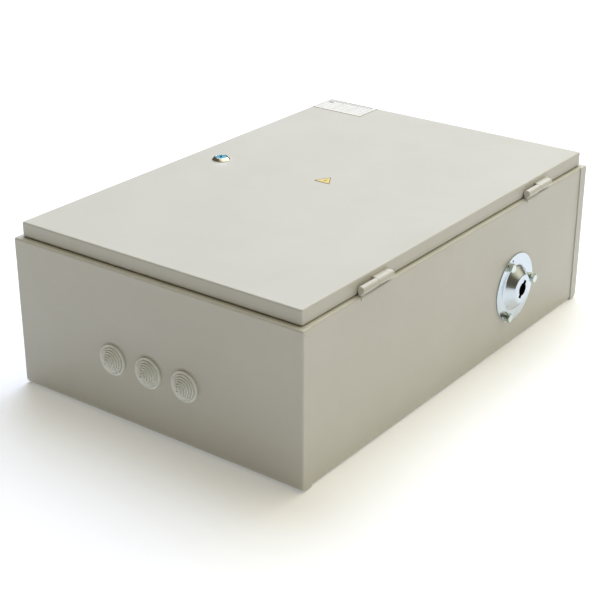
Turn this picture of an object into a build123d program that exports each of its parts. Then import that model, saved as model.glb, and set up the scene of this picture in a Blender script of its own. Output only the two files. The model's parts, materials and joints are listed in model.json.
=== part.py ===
from build123d import *
import math
import os

# Automatic transfer switch in a wall enclosure, lying on its back.
# Origin: centre of the back, on the plane it rests on. +Z out of the door, +Y up when hung,
# +X towards the hinges. Millimetres.

# ---- enclosure ------------------------------------------------------------------------------
WIDTH = 400.0
HEIGHT = 600.0
DEPTH = 200.0
SHEET = 1.4
BEND = 2.6                # outside radius of a fold
RIM_Z = 182.0             # top of the ledge round the opening
FLANGE = 15.0             # how far an end cap laps over the side walls and the back
CAP_CORNER = 7.0          # outside radius where an end cap turns under the back
WALL_X = WIDTH / 2 - SHEET
WRAP_HALF = 292.8         # half length of the folded wrap, inside the end caps
LIP_X = 185.7             # middle of the upstand that the gasket seals on
LIP_TOP = 192.0
PIP_R = 0.7

# ---- door -----------------------------------------------------------------------------------
DOOR_INSET_X = 7.0
DOOR_INSET_Y = 7.5
DOOR_GAP = 1.5
DOOR_HALF_X = WIDTH / 2 - DOOR_INSET_X
DOOR_HALF_Y = HEIGHT / 2 - DOOR_INSET_Y
DOOR_LOW = RIM_Z + DOOR_GAP
DOOR_INSIDE = DEPTH - SHEET
GASKET_WIDTH = 9.0
GASKET_GAP = 0.1
STICKER = 0.4

HINGE_X = 198.2           # the barrels lie over the ledge, beside the door
HINGE_Z = 188.6
HINGE_Y = 173.0
BARREL_R = 4.4
KNUCKLE = 28.0
PIN_R = 1.9
PIN_HALF = 20.0           # half the length of a hinge pin
LEAF_Z = 188.9            # where the door leaf is welded to the door's edge
LEAF_THICK = 4.4
LEAF_ANGLE = math.radians(8)
FOOT_SHEET = 1.0          # the body leaf, folded over the edge of the wall
FOOT_LEFT = 193.9
FOOT_LOW = 177.6
LEAF_ON_BARREL = (BARREL_R * math.sin(LEAF_ANGLE), BARREL_R * math.cos(LEAF_ANGLE))

LOCK_X = -150.0
LOCK_Y = 0.0
LOCK_BEZEL_R = 11.3
LOCK_RISE = 4.0
LOCK_BARREL_R = 9.5
LOCK_CORE_R = 7.0
LOCK_UNDER = 178.8        # underside of the lock housing
LOCK_NUT_FLATS = 24.0
LOCK_NUT_HIGH = 6.0
CAM_THICK = 2.4
CAM_WIDE = 14.0
CAM_LONG = 47.0
CAM_SCREW_R = 2.0
CAM_SCREW_HEAD = 3.0

SIGN_AT = (-2.1, 14.8)
SIGN_R = 13.4             # centre to corner of the warning triangle
LABEL_X = (-191.0, -112.0)
LABEL_Y = (247.5, 290.8)
DOOR_STUD_AT = (150.0, -262.0)

# ---- cable entries --------------------------------------------------------------------------
GROMMET_X = (-56.5, -5.2, 46.1)
GROMMET_Z = 74.0
GROMMET_HOLE_R = 14.0
GROMMET_R = 18.2
GROMMET_RISE = 13.5
GROMMET_STEPS = 6

# ---- manual operating entry -----------------------------------------------------------------
SHAFT_Y = 128.0
SHAFT_Z = 75.0
OPERATOR_R = 43.0
OPERATOR_SHEET = 1.5
DOME_BASE_R = 28.0
DOME_TOP_R = 17.3
DOME_RISE = 11.5
KEYHOLE_R = 8.2
KEYHOLE_LONG = 23.0
KEYHOLE_NOTCH = 6.4
KEYHOLE_TILT = -34.0
BOLT_CIRCLE_R = 37.5
BOLT_SLACK = 0.3          # a bolt hole's radius over its bolt's
ENTRY_R = 24.0            # the hole in the side wall behind the dome
RACK_HOLE_R = 1.5         # the flange hung from it while it was plated
RACK_HOLE_AT = (-9.2, 36.9)
M6_R = 3.0
M6_FLATS = 10.0
M8_R = 4.0
M8_FLATS = 13.0
M8_NUT = 6.5

# ---- mounting plate -------------------------------------------------------------------------
PLATE_X = 165.0
PLATE_Y = 265.0
PLATE_LOW = 14.0
PLATE_TOP = 16.0
STUD_X = 150.0
STUD_Y = 250.0
WALL_HOLE_X = 180.0
WALL_HOLE_Y = 275.0
WALL_HOLE_R = 4.5
EARTH_STUD_AT = (120.0, -279.0)

# ---- switch ---------------------------------------------------------------------------------
SHAFT_R = 7.0
POLE_PITCH = 44.0
POLE_X = [-32.0 + POLE_PITCH * pole for pole in range(4)]
BASE_TOP = 34.0
BASE_LEFT = POLE_X[0] - POLE_PITCH / 2 - 2
BASE_RIGHT = POLE_X[-1] + POLE_PITCH / 2 + 2
BLOCK_TOP = 86.0          # height of the blocks that carry the source terminals
BLOCK_NEAR = 43.0         # their distance from the shaft
BLOCK_FAR = 76.0
BAR_HALF = 9.0
BAR_THICK = 3.0
SOURCE_BOLT = 64.0        # terminal bolts, measured from the shaft
LOAD_BOLT = 85.0
BLADE_HALF = 2.0
BLADE_REACH = 52.0
BLADE_WIDTH = 12.0
HUB_R = 13.0
RING_R = 19.0
JAW_GAP = 0.1
JAW_THICK = 1.2
JAW_TOP = 114.0
LOAD_JAW_HALF = 14.0
CHEEK = 2.0               # sheet of the bearing cheeks and the motor bracket
CHEEK_HALF = 60.0
CHEEK_TOP = 104.0
CHEEK_FOOT = 14.0
BUSHING_R = 10.0
CHUTE_HALF = 13.0
CHUTE_WALL = 3.0
CHUTE_NEAR = 22.0
CHUTE_FAR = 55.0
CHUTE_TOP = 132.0
CHUTE_LEG_TOP = 91.0
BARRIER_TOP = 126.0
SHAFT_END = 168.8
SOCKET_LEFT = 163.0
SOCKET_RIGHT = 205.0
SOCKET_FLOOR = 187.0
SOCKET_R = 13.0

# ---- drive ----------------------------------------------------------------------------------
MODULE = 1.0
GEAR_TEETH = 54
PINION_TEETH = 18
PRESSURE_ANGLE = math.radians(20)
BACKLASH = 0.12
PINION_Y = SHAFT_Y - MODULE * (GEAR_TEETH + PINION_TEETH) / 2
GEAR_LEFT = -70.0
GEAR_WIDTH = 8.0
PINION_SHAFT_R = 4.0
GEARBOX_RIGHT = -74.0
GEARBOX_LEFT = -102.0
GEARBOX_HALF = 22.0
MOTOR_LEFT = -150.0
MOTOR_R = 18.0
BRACKET_HALF = 26.0
BRACKET_TOP = 102.0

# ---- control row and terminals --------------------------------------------------------------
RAIL_Y = (-45.0, -165.0)
RAIL_LEFT = -142.0
RAIL_RIGHT = 160.0
RAIL_TOP = PLATE_TOP + 7.5
DEVICE_LOW = RAIL_TOP + 0.1
DEVICE_FOOT = RAIL_TOP - 5.5
RAIL_RECESS = 17.7
BREAKER_X = (-132.0, -94.0)
BREAKER_WIDTH = 36.0
BREAKER_HALF = 43.0
TOGGLE_Z = 78.0
TOGGLE_R = 8.0
TOGGLE_ANGLE = math.radians(40)
RELAY_X = (-54.0, -16.0)
RELAY_TOP = 92.0
STOP_WIDTH = 7.0
STOP_TOP = 44.0
CONTROLLER_X = 26.0
CONTROLLER_WIDTH = 108.0
CONTROLLER_TOP = 88.0
TERMINAL_X = -60.0
TERMINAL_PITCH = 8.0
TERMINAL_COUNT = 12
EARTH_Y = -226.0
EARTH_PITCH = 15.0
EARTH_COUNT = 11
DUCT_TOP = 56.0
DUCT_WALL = 1.2
DUCT_PITCH = 8.0
WIRE_R = 1.3


def block(x, y, z, mode=Mode.ADD):
    """A box between two limits on each axis, put into the part being built."""
    x, y, z = sorted(x), sorted(y), sorted(z)
    with Locations(((x[0] + x[1]) / 2, (y[0] + y[1]) / 2, (z[0] + z[1]) / 2)):
        Box(x[1] - x[0], y[1] - y[0], z[1] - z[0], mode=mode)


def rod(start, end, radius, mode=Mode.ADD):
    """A cylinder along X, Y or Z from one point to another."""
    run = Vector(end) - Vector(start)
    turn = (90 if run.Y else 0, 90 if run.X else 0, 0)
    with Locations(Vector(start) + run * 0.5):
        Cylinder(radius, run.length, rotation=turn, mode=mode)


def hexagon(center, flats, height, mode=Mode.ADD):
    """A hexagonal bar standing along Z, from its centre at the foot."""
    with BuildSketch(Plane(origin=center)) as outline:
        RegularPolygon(flats / 2, 6, major_radius=False)
    extrude(outline.sketch, amount=height, mode=mode)


def save(piece, name):
    piece.part.label = name
    export_step(piece.part, f"parts/{name}.step")


def facing_x(x, y, z):
    """A plane that looks along +X, with its own axes along +Y and +Z."""
    return Plane(origin=(x, y, z), x_dir=(0, 1, 0), z_dir=(1, 0, 0))


os.makedirs("parts", exist_ok=True)


# ==== enclosure ==============================================================================
WALL_MID = WALL_X - SHEET / 2
LEDGE_MID = RIM_Z - SHEET / 2
BACK_MID = SHEET * 1.5
CAP_INNER = HEIGHT / 2 - FLANGE

with BuildPart() as body_wrap:
    with BuildSketch(Plane.XZ):
        with BuildLine():
            FilletPolyline(
                (-LIP_X, LIP_TOP),
                (-LIP_X, LEDGE_MID),
                (-WALL_MID, LEDGE_MID),
                (-WALL_MID, BACK_MID),
                (WALL_MID, BACK_MID),
                (WALL_MID, LEDGE_MID),
                (LIP_X, LEDGE_MID),
                (LIP_X, LIP_TOP),
                radius=BEND - SHEET / 2,
            )
        trace(line_width=SHEET)
    extrude(amount=WRAP_HALF, both=True)
    # Under the end caps the side walls lose their ledge and upstand.
    for side in (-1, 1):
        block(
            (-WIDTH, WIDTH),
            (side * (CAP_INNER - 0.1), side * HEIGHT),
            (RIM_Z - BEND, DEPTH),
            mode=Mode.SUBTRACT,
        )
    with GridLocations(2 * WALL_HOLE_X, 2 * WALL_HOLE_Y, 2, 2):
        Cylinder(WALL_HOLE_R, 10 * SHEET, mode=Mode.SUBTRACT)
    rod(
        (WALL_X - 5, SHAFT_Y, SHAFT_Z),
        (WALL_X + 5, SHAFT_Y, SHAFT_Z),
        ENTRY_R,
        mode=Mode.SUBTRACT,
    )
    with BuildSketch(facing_x(WALL_X - 5, SHAFT_Y, SHAFT_Z)):
        with PolarLocations(BOLT_CIRCLE_R, 3):
            Circle(M6_R + BOLT_SLACK)
    extrude(amount=10, mode=Mode.SUBTRACT)
save(body_wrap, "body_wrap")


def end_cap(side):
    """A short wall with flanges lapping over the side walls, the back and the rim."""
    outer, inner = side * HEIGHT / 2, side * CAP_INNER
    end_index = 0 if side < 0 else -1
    open_index = -1 if side < 0 else 0
    with BuildPart() as cap:
        block((-WIDTH / 2, WIDTH / 2), (outer, inner), (0, RIM_Z))
        fillet(cap.faces().sort_by(Axis.Y)[end_index].edges().sort_by(Axis.Z)[0], radius=CAP_CORNER)
        fillet(cap.faces().sort_by(Axis.Y)[end_index].edges().sort_by(Axis.Z)[-1], radius=BEND)
        flank_edges = [
            edge
            for face in cap.faces().filter_by(Plane.YZ)
            for edge in face.edges()
            if abs(edge.center().Y - inner) > 0.01
        ]
        fillet(flank_edges, radius=BEND - 0.4)
        offset(amount=-SHEET, openings=cap.faces().sort_by(Axis.Y)[open_index])
        block(
            (-LIP_X - SHEET / 2, LIP_X + SHEET / 2),
            (inner, inner + side * SHEET),
            (RIM_Z - SHEET, LIP_TOP),
        )
        # Weld-relief pips at the ends of the corner seams.
        pip_y = outer - side * 3.2
        for x in (-WIDTH / 2, WIDTH / 2):
            for z in (CAP_CORNER + 1.5, RIM_Z - 5):
                rod((x - 0.5, pip_y, z), (x + 0.5, pip_y, z), PIP_R, mode=Mode.SUBTRACT)
    return cap


cap_top = end_cap(1)
save(cap_top, "end_cap_top")

with BuildPart() as cap_bottom:
    add(end_cap(-1).part)
    for x in GROMMET_X:
        rod(
            (x, -HEIGHT / 2 - 5, GROMMET_Z),
            (x, -HEIGHT / 2 + 5, GROMMET_Z),
            GROMMET_HOLE_R,
            mode=Mode.SUBTRACT,
        )
save(cap_bottom, "end_cap_bottom")


# ==== cable grommets =========================================================================
def grommet(x):
    """A stepped rubber cone, sprung into its hole by a groove."""
    face = -HEIGHT / 2
    step_r = (GROMMET_R - 5.2) / GROMMET_STEPS
    step_h = (GROMMET_RISE - 3.5) / GROMMET_STEPS
    groove_r = GROMMET_HOLE_R - 0.1
    behind = -SHEET - 0.05
    # From the lip behind the wall, round the groove, to the rim in front of it.
    outline = [(12.0, -4.0), (16.0, -3.4), (16.0, behind), (groove_r, behind), (groove_r, 0.05)]
    outline += [(GROMMET_R, 0.05), (GROMMET_R, 1.9), (GROMMET_R - 1.4, 3.1)]
    for step in range(GROMMET_STEPS):
        outline.append((GROMMET_R - 2.6 - step * step_r, 2.8 + step * step_h))
        outline.append((GROMMET_R - 3.1 - step * step_r, 2.8 + (step + 1) * step_h))
    # Over the nipple with its small hole, and back down the hollow inside.
    outline += [(2.2, GROMMET_RISE), (0.9, GROMMET_RISE), (0.9, GROMMET_RISE - 3.2), (11.2, 1.4)]
    outline.append(outline[0])
    with BuildPart() as cone:
        with BuildSketch(Plane(origin=(x, face, GROMMET_Z), x_dir=(1, 0, 0), z_dir=(0, 0, -1))):
            with BuildLine():
                Polyline(*outline)
            make_face()
        revolve(axis=Axis((x, face, GROMMET_Z), (0, -1, 0)))
    return cone


for name, x in zip(("grommet_left", "grommet_middle", "grommet_right"), GROMMET_X):
    save(grommet(x), name)


# ==== hinges =================================================================================
with BuildPart() as hinge_body_knuckles:
    for center in (-HINGE_Y, HINGE_Y):
        rod((HINGE_X, center - KNUCKLE, HINGE_Z), (HINGE_X, center - 0.3, HINGE_Z), BARREL_R)
    round_ends = hinge_body_knuckles.edges().filter_by(GeomType.CIRCLE).sort_by(Axis.Y)
    fillet([round_ends[0], round_ends[2]], radius=1.1)
    for center in (-HINGE_Y, HINGE_Y):
        with BuildSketch(Plane.XZ.offset(-(center - 0.3))):
            with BuildLine():
                FilletPolyline(
                    (FOOT_LEFT, RIM_Z + FOOT_SHEET / 2),
                    (WALL_X + FOOT_SHEET / 2, RIM_Z + FOOT_SHEET / 2),
                    (WALL_X + FOOT_SHEET / 2, FOOT_LOW),
                    radius=BEND + FOOT_SHEET / 2,
                )
            trace(line_width=FOOT_SHEET)
        extrude(amount=KNUCKLE - 1.1)
        block((HINGE_X - 3.6, HINGE_X + 0.4), (center - KNUCKLE + 1.1, center - 0.3), (RIM_Z + 0.5, HINGE_Z))
        rod(
            (HINGE_X, center - PIN_HALF - 1, HINGE_Z),
            (HINGE_X, center, HINGE_Z),
            PIN_R + 0.03,
            mode=Mode.SUBTRACT,
        )
save(hinge_body_knuckles, "hinge_body_knuckles")

with BuildPart() as hinge_door_knuckles:
    for center in (-HINGE_Y, HINGE_Y):
        with BuildSketch(Plane.XZ.offset(-(center + KNUCKLE))):
            with Locations((HINGE_X, HINGE_Z)):
                Circle(BARREL_R)
            with BuildLine():
                Polyline(
                    (DOOR_HALF_X, LEAF_Z + LEAF_THICK),
                    (HINGE_X + LEAF_ON_BARREL[0], HINGE_Z + LEAF_ON_BARREL[1]),
                    (HINGE_X, HINGE_Z),
                    (HINGE_X - 4.0, HINGE_Z + 0.6),
                    (DOOR_HALF_X, LEAF_Z),
                    close=True,
                )
            make_face()
        extrude(amount=KNUCKLE - 0.3)
    for center in (-HINGE_Y, HINGE_Y):
        rod(
            (HINGE_X, center, HINGE_Z),
            (HINGE_X, center + PIN_HALF + 1, HINGE_Z),
            PIN_R + 0.05,
            mode=Mode.SUBTRACT,
        )
save(hinge_door_knuckles, "hinge_door_knuckles")

with BuildPart() as hinge_pins:
    for center in (-HINGE_Y, HINGE_Y):
        rod((HINGE_X, center - PIN_HALF, HINGE_Z), (HINGE_X, center + PIN_HALF, HINGE_Z), PIN_R)
save(hinge_pins, "hinge_pins")


# ==== door ===================================================================================
with BuildPart() as door_panel:
    block((-DOOR_HALF_X, DOOR_HALF_X), (-DOOR_HALF_Y, DOOR_HALF_Y), (DOOR_LOW, DEPTH))
    fillet(door_panel.edges().filter_by(Axis.Z), radius=2.0)
    fillet(door_panel.faces().sort_by(Axis.Z)[-1].edges(), radius=1.9)
    offset(amount=-SHEET, openings=door_panel.faces().sort_by(Axis.Z)[0])
    rod(
        (LOCK_X, LOCK_Y, DEPTH - 10),
        (LOCK_X, LOCK_Y, DEPTH + 10),
        LOCK_BARREL_R + 0.1,
        mode=Mode.SUBTRACT,
    )
save(door_panel, "door_panel")

GASKET_ROUND_X = 2 * LIP_X
GASKET_ROUND_Y = 2 * CAP_INNER + SHEET
with BuildPart() as door_gasket:
    with BuildSketch(Plane.XY.offset(LIP_TOP + GASKET_GAP)):
        RectangleRounded(GASKET_ROUND_X + GASKET_WIDTH, GASKET_ROUND_Y + GASKET_WIDTH, 4)
        RectangleRounded(
            GASKET_ROUND_X - GASKET_WIDTH,
            GASKET_ROUND_Y - GASKET_WIDTH,
            6,
            mode=Mode.SUBTRACT,
        )
    extrude(amount=DOOR_INSIDE - LIP_TOP - GASKET_GAP)
save(door_gasket, "door_gasket")

with BuildPart() as lock_housing:
    with BuildSketch(Plane(origin=(LOCK_X, LOCK_Y, 0), x_dir=(1, 0, 0), z_dir=(0, -1, 0))):
        with BuildLine():
            Polyline(
                (LOCK_CORE_R + 0.05, LOCK_UNDER),
                (LOCK_BARREL_R, LOCK_UNDER),
                (LOCK_BARREL_R, DEPTH),
                (LOCK_BEZEL_R, DEPTH),
                (LOCK_BEZEL_R, DEPTH + 0.9),
                (LOCK_CORE_R + 1.7, DEPTH + LOCK_RISE),
                (LOCK_CORE_R + 0.9, DEPTH + LOCK_RISE),
                (LOCK_CORE_R + 0.05, DEPTH + LOCK_RISE - 0.6),
                close=True,
            )
        make_face()
    revolve(axis=Axis((LOCK_X, LOCK_Y, 0), (0, 0, 1)))
save(lock_housing, "lock_housing")

with BuildPart() as lock_nut:
    hexagon((LOCK_X, LOCK_Y, DOOR_INSIDE - LOCK_NUT_HIGH), LOCK_NUT_FLATS, LOCK_NUT_HIGH)
    rod(
        (LOCK_X, LOCK_Y, DOOR_INSIDE - 2 * LOCK_NUT_HIGH),
        (LOCK_X, LOCK_Y, DEPTH),
        LOCK_BARREL_R + 0.05,
        mode=Mode.SUBTRACT,
    )
save(lock_nut, "lock_nut")

CAM_TOP = LOCK_UNDER - 0.2
CAM_LOW = CAM_TOP - CAM_THICK
with BuildPart() as lock_core:
    rod((LOCK_X, LOCK_Y, LOCK_UNDER), (LOCK_X, LOCK_Y, DEPTH + LOCK_RISE - 0.5), LOCK_CORE_R)
    block((LOCK_X - 4, LOCK_X + 4), (LOCK_Y - 4, LOCK_Y + 4), (CAM_LOW, LOCK_UNDER))
    block(
        (LOCK_X - 1.1, LOCK_X + 1.1),
        (LOCK_Y - 4.2, LOCK_Y + 4.2),
        (DEPTH + LOCK_RISE - 9, DEPTH + LOCK_RISE),
        mode=Mode.SUBTRACT,
    )
    rod(
        (LOCK_X, LOCK_Y, CAM_LOW - 1),
        (LOCK_X, LOCK_Y, LOCK_UNDER + 6),
        CAM_SCREW_R + 0.03,
        mode=Mode.SUBTRACT,
    )
save(lock_core, "lock_core")

with BuildPart() as lock_cam:
    with BuildSketch(Plane.XY.offset(CAM_LOW)):
        with Locations((LOCK_X, LOCK_Y + CAM_LONG / 2 - CAM_WIDE / 2)):
            RectangleRounded(CAM_WIDE, CAM_LONG, CAM_WIDE / 2 - 0.1)
        with Locations((LOCK_X, LOCK_Y)):
            Rectangle(8.1, 8.1, mode=Mode.SUBTRACT)
    extrude(amount=CAM_THICK)
save(lock_cam, "lock_cam")

with BuildPart() as cam_screw:
    rod((LOCK_X, LOCK_Y, CAM_LOW - CAM_SCREW_HEAD), (LOCK_X, LOCK_Y, CAM_LOW), 3 * CAM_SCREW_R)
    rod((LOCK_X, LOCK_Y, CAM_LOW), (LOCK_X, LOCK_Y, LOCK_UNDER + 5), CAM_SCREW_R)
    block(
        (LOCK_X - 5, LOCK_X + 5),
        (LOCK_Y - 0.6, LOCK_Y + 0.6),
        (CAM_LOW - CAM_SCREW_HEAD, CAM_LOW - CAM_SCREW_HEAD + 1.2),
        mode=Mode.SUBTRACT,
    )
save(cam_screw, "cam_screw")

with BuildPart() as warning_sign:
    with BuildSketch(Plane.XY.offset(DEPTH)):
        with Locations(SIGN_AT):
            RegularPolygon(SIGN_R, 3, rotation=90)
    extrude(amount=STICKER)
    fillet(warning_sign.edges().filter_by(Axis.Z), radius=0.8)
save(warning_sign, "warning_sign")

with BuildPart() as rating_plate:
    block(LABEL_X, LABEL_Y, (DEPTH, DEPTH + STICKER))
    fillet(rating_plate.edges().filter_by(Axis.Z), radius=2)
save(rating_plate, "rating_plate")

with BuildPart() as door_earth_stud:
    rod((*DOOR_STUD_AT, DOOR_INSIDE - 18), (*DOOR_STUD_AT, DOOR_INSIDE), M6_R)
    hexagon((*DOOR_STUD_AT, DOOR_INSIDE - 8), M6_FLATS, 5)
save(door_earth_stud, "door_earth_stud")


# ==== manual operating entry =================================================================
with BuildPart() as operator_flange:
    with BuildSketch(Plane(origin=(WALL_X, SHAFT_Y, SHAFT_Z), x_dir=(0, 1, 0), z_dir=(0, 0, -1))):
        with BuildLine():
            FilletPolyline(
                (OPERATOR_R, OPERATOR_SHEET / 2),
                (DOME_BASE_R, OPERATOR_SHEET / 2),
                (DOME_TOP_R, DOME_RISE - OPERATOR_SHEET / 2),
                (0, DOME_RISE - OPERATOR_SHEET / 2),
                radius=[5.0, 1.6],
            )
        trace(line_width=OPERATOR_SHEET)
    revolve(axis=Axis((WALL_X, SHAFT_Y, SHAFT_Z), (1, 0, 0)))
    with BuildSketch(facing_x(WALL_X + DOME_RISE / 2, SHAFT_Y, SHAFT_Z)):
        Circle(KEYHOLE_R)
        Rectangle(KEYHOLE_NOTCH, KEYHOLE_LONG, rotation=KEYHOLE_TILT)
    extrude(amount=DOME_RISE, mode=Mode.SUBTRACT)
    with BuildSketch(facing_x(WALL_X - 1, SHAFT_Y, SHAFT_Z)):
        with PolarLocations(BOLT_CIRCLE_R, 3):
            Circle(M6_R + BOLT_SLACK)
        with Locations(RACK_HOLE_AT):
            Circle(RACK_HOLE_R)
    extrude(amount=5, mode=Mode.SUBTRACT)
save(operator_flange, "operator_flange")

BOLT_SEAT = WALL_X + OPERATOR_SHEET
with BuildPart() as operator_bolts:
    with BuildSketch(facing_x(BOLT_SEAT + 2.9, SHAFT_Y, SHAFT_Z)):
        with PolarLocations(BOLT_CIRCLE_R, 3):
            RegularPolygon(M6_FLATS / 2, 6, major_radius=False)
    extrude(amount=4)
    with BuildSketch(facing_x(BOLT_SEAT + 2.9, SHAFT_Y, SHAFT_Z)):
        with PolarLocations(BOLT_CIRCLE_R, 3):
            Circle(M6_R)
    extrude(amount=-16)
save(operator_bolts, "operator_bolts")

with BuildPart() as operator_washers:
    for seat, outer_r, thick in ((0, 6.0, 1.3), (1.4, 5.0, 1.4)):
        with BuildSketch(facing_x(BOLT_SEAT + seat, SHAFT_Y, SHAFT_Z)):
            with PolarLocations(BOLT_CIRCLE_R, 3):
                Circle(outer_r)
            with PolarLocations(BOLT_CIRCLE_R, 3):
                Circle(M6_R + 0.2, mode=Mode.SUBTRACT)
        extrude(amount=thick)
save(operator_washers, "operator_washers")

with BuildPart() as operator_nuts:
    with BuildSketch(facing_x(WALL_X - SHEET - 5.2, SHAFT_Y, SHAFT_Z)):
        with PolarLocations(BOLT_CIRCLE_R, 3):
            RegularPolygon(M6_FLATS / 2, 6, major_radius=False)
        with PolarLocations(BOLT_CIRCLE_R, 3):
            Circle(M6_R + 0.05, mode=Mode.SUBTRACT)
    extrude(amount=5)
save(operator_nuts, "operator_nuts")


# ==== mounting plate and studs ===============================================================
STUD_POINTS = [(x, y) for x in (-STUD_X, STUD_X) for y in (-STUD_Y, STUD_Y)]

with BuildPart() as mounting_plate:
    block((-PLATE_X, PLATE_X), (-PLATE_Y, PLATE_Y), (PLATE_LOW, PLATE_TOP))
    fillet(mounting_plate.edges().filter_by(Axis.Z), radius=6)
    for x, y in STUD_POINTS:
        rod((x, y, 0), (x, y, 30), M8_R + 0.4, mode=Mode.SUBTRACT)
save(mounting_plate, "mounting_plate")

with BuildPart() as plate_studs:
    for x, y in STUD_POINTS:
        rod((x, y, 2 * SHEET), (x, y, PLATE_LOW), 7)
        rod((x, y, PLATE_LOW), (x, y, 30), M8_R)
save(plate_studs, "plate_studs")

with BuildPart() as plate_nuts:
    for x, y in STUD_POINTS:
        hexagon((x, y, PLATE_TOP), M8_FLATS, M8_NUT)
        rod((x, y, 0), (x, y, 40), M8_R + 0.05, mode=Mode.SUBTRACT)
save(plate_nuts, "plate_nuts")

with BuildPart() as earth_stud:
    rod((*EARTH_STUD_AT, 2 * SHEET), (*EARTH_STUD_AT, 24), M8_R)
    hexagon((*EARTH_STUD_AT, 8), M8_FLATS, M8_NUT)
save(earth_stud, "earth_stud")


# ==== transfer switch ========================================================================
with BuildPart() as switch_base:
    block(
        (BASE_LEFT, BASE_RIGHT),
        (SHAFT_Y - LOAD_BOLT - BAR_HALF, SHAFT_Y + BLOCK_FAR + 6),
        (PLATE_TOP, BASE_TOP),
    )
    for side in (-1, 1):
        block(
            (BASE_LEFT, BASE_RIGHT),
            (SHAFT_Y + side * BLOCK_NEAR, SHAFT_Y + side * BLOCK_FAR),
            (BASE_TOP, BLOCK_TOP),
        )
        for x in POLE_X:
            bolt_y = SHAFT_Y + side * SOURCE_BOLT
            rod((x, bolt_y, BLOCK_TOP - 16), (x, bolt_y, BLOCK_TOP + 1), M8_R + 0.05, mode=Mode.SUBTRACT)
    for x in POLE_X:
        # A tunnel through the near block lets the load bar out, and its bolt goes into the base.
        block(
            (x - BAR_HALF - 0.2, x + BAR_HALF + 0.2),
            (SHAFT_Y - BLOCK_FAR - 1, SHAFT_Y - BLOCK_NEAR + 1),
            (BASE_TOP, BASE_TOP + BAR_THICK + 0.2),
            mode=Mode.SUBTRACT,
        )
        load_y = SHAFT_Y - LOAD_BOLT
        rod((x, load_y, PLATE_TOP + 4), (x, load_y, BASE_TOP + 1), M8_R + 0.05, mode=Mode.SUBTRACT)
save(switch_base, "switch_base")

with BuildPart() as bearing_cheeks:
    for inside, outward in ((BASE_LEFT, -1), (BASE_RIGHT, 1)):
        cheek_y = (SHAFT_Y - CHEEK_HALF, SHAFT_Y + CHEEK_HALF)
        block((inside, inside + outward * CHEEK), cheek_y, (PLATE_TOP, CHEEK_TOP))
        block((inside, inside + outward * CHEEK_FOOT), cheek_y, (PLATE_TOP, PLATE_TOP + CHEEK))
    top_corners = bearing_cheeks.edges().filter_by(Axis.X).group_by(Axis.Z)[-1]
    fillet(top_corners, radius=12)
    rod(
        (BASE_LEFT - 5, SHAFT_Y, SHAFT_Z),
        (BASE_RIGHT + 5, SHAFT_Y, SHAFT_Z),
        BUSHING_R + 0.05,
        mode=Mode.SUBTRACT,
    )
save(bearing_cheeks, "bearing_cheeks")

with BuildPart() as shaft_bushings:
    for inside, outward in ((BASE_LEFT, -1), (BASE_RIGHT, 1)):
        outer = inside + outward * CHEEK
        rod((inside, SHAFT_Y, SHAFT_Z), (outer, SHAFT_Y, SHAFT_Z), BUSHING_R)
        rod((outer, SHAFT_Y, SHAFT_Z), (outer + outward * 1.5, SHAFT_Y, SHAFT_Z), BUSHING_R + 3)
    rod(
        (BASE_LEFT - 9, SHAFT_Y, SHAFT_Z),
        (BASE_RIGHT + 9, SHAFT_Y, SHAFT_Z),
        SHAFT_R + 0.06,
        mode=Mode.SUBTRACT,
    )
save(shaft_bushings, "shaft_bushings")


def jaw_pair(x, y, z):
    """The two spring plates that grip a blade from both sides."""
    for side in (-1, 1):
        inner = x + side * (BLADE_HALF + JAW_GAP)
        block((inner, inner + side * JAW_THICK), y, z)


def source_contacts(side):
    """Four terminal bars with jaws, on the block on one side of the shaft."""
    with BuildPart() as contacts:
        for x in POLE_X:
            block(
                (x - BAR_HALF, x + BAR_HALF),
                (SHAFT_Y + side * 29, SHAFT_Y + side * BLOCK_FAR),
                (BLOCK_TOP, BLOCK_TOP + BAR_THICK),
            )
            jaw_pair(
                x,
                (SHAFT_Y + side * 28, SHAFT_Y + side * BLOCK_NEAR),
                (BLOCK_TOP + BAR_THICK / 2, JAW_TOP),
            )
            bolt_y = SHAFT_Y + side * SOURCE_BOLT
            rod((x, bolt_y, BLOCK_TOP - 1), (x, bolt_y, BLOCK_TOP + 5), M8_R + 0.3, mode=Mode.SUBTRACT)
    return contacts


save(source_contacts(1), "source_one_contacts")
save(source_contacts(-1), "source_two_contacts")

with BuildPart() as load_contacts:
    for x in POLE_X:
        block(
            (x - BAR_HALF, x + BAR_HALF),
            (SHAFT_Y - LOAD_BOLT - BAR_HALF, SHAFT_Y + LOAD_JAW_HALF),
            (BASE_TOP, BASE_TOP + BAR_THICK),
        )
        jaw_pair(
            x,
            (SHAFT_Y - LOAD_JAW_HALF, SHAFT_Y + LOAD_JAW_HALF),
            (BASE_TOP + BAR_THICK / 2, SHAFT_Z - HUB_R - 0.6),
        )
        load_y = SHAFT_Y - LOAD_BOLT
        rod((x, load_y, BASE_TOP - 1), (x, load_y, BASE_TOP + 5), M8_R + 0.3, mode=Mode.SUBTRACT)
save(load_contacts, "load_contacts")

with BuildPart() as terminal_bolts:
    for x in POLE_X:
        for seat_y, seat_z in (
            (SHAFT_Y + SOURCE_BOLT, BLOCK_TOP + BAR_THICK),
            (SHAFT_Y - SOURCE_BOLT, BLOCK_TOP + BAR_THICK),
            (SHAFT_Y - LOAD_BOLT, BASE_TOP + BAR_THICK),
        ):
            rod((x, seat_y, seat_z), (x, seat_y, seat_z + 1.4), 7.8)
            hexagon((x, seat_y, seat_z + 1.4), M8_FLATS, 5.3)
            rod((x, seat_y, seat_z - 14), (x, seat_y, seat_z), M8_R)
save(terminal_bolts, "terminal_bolts")

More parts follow.
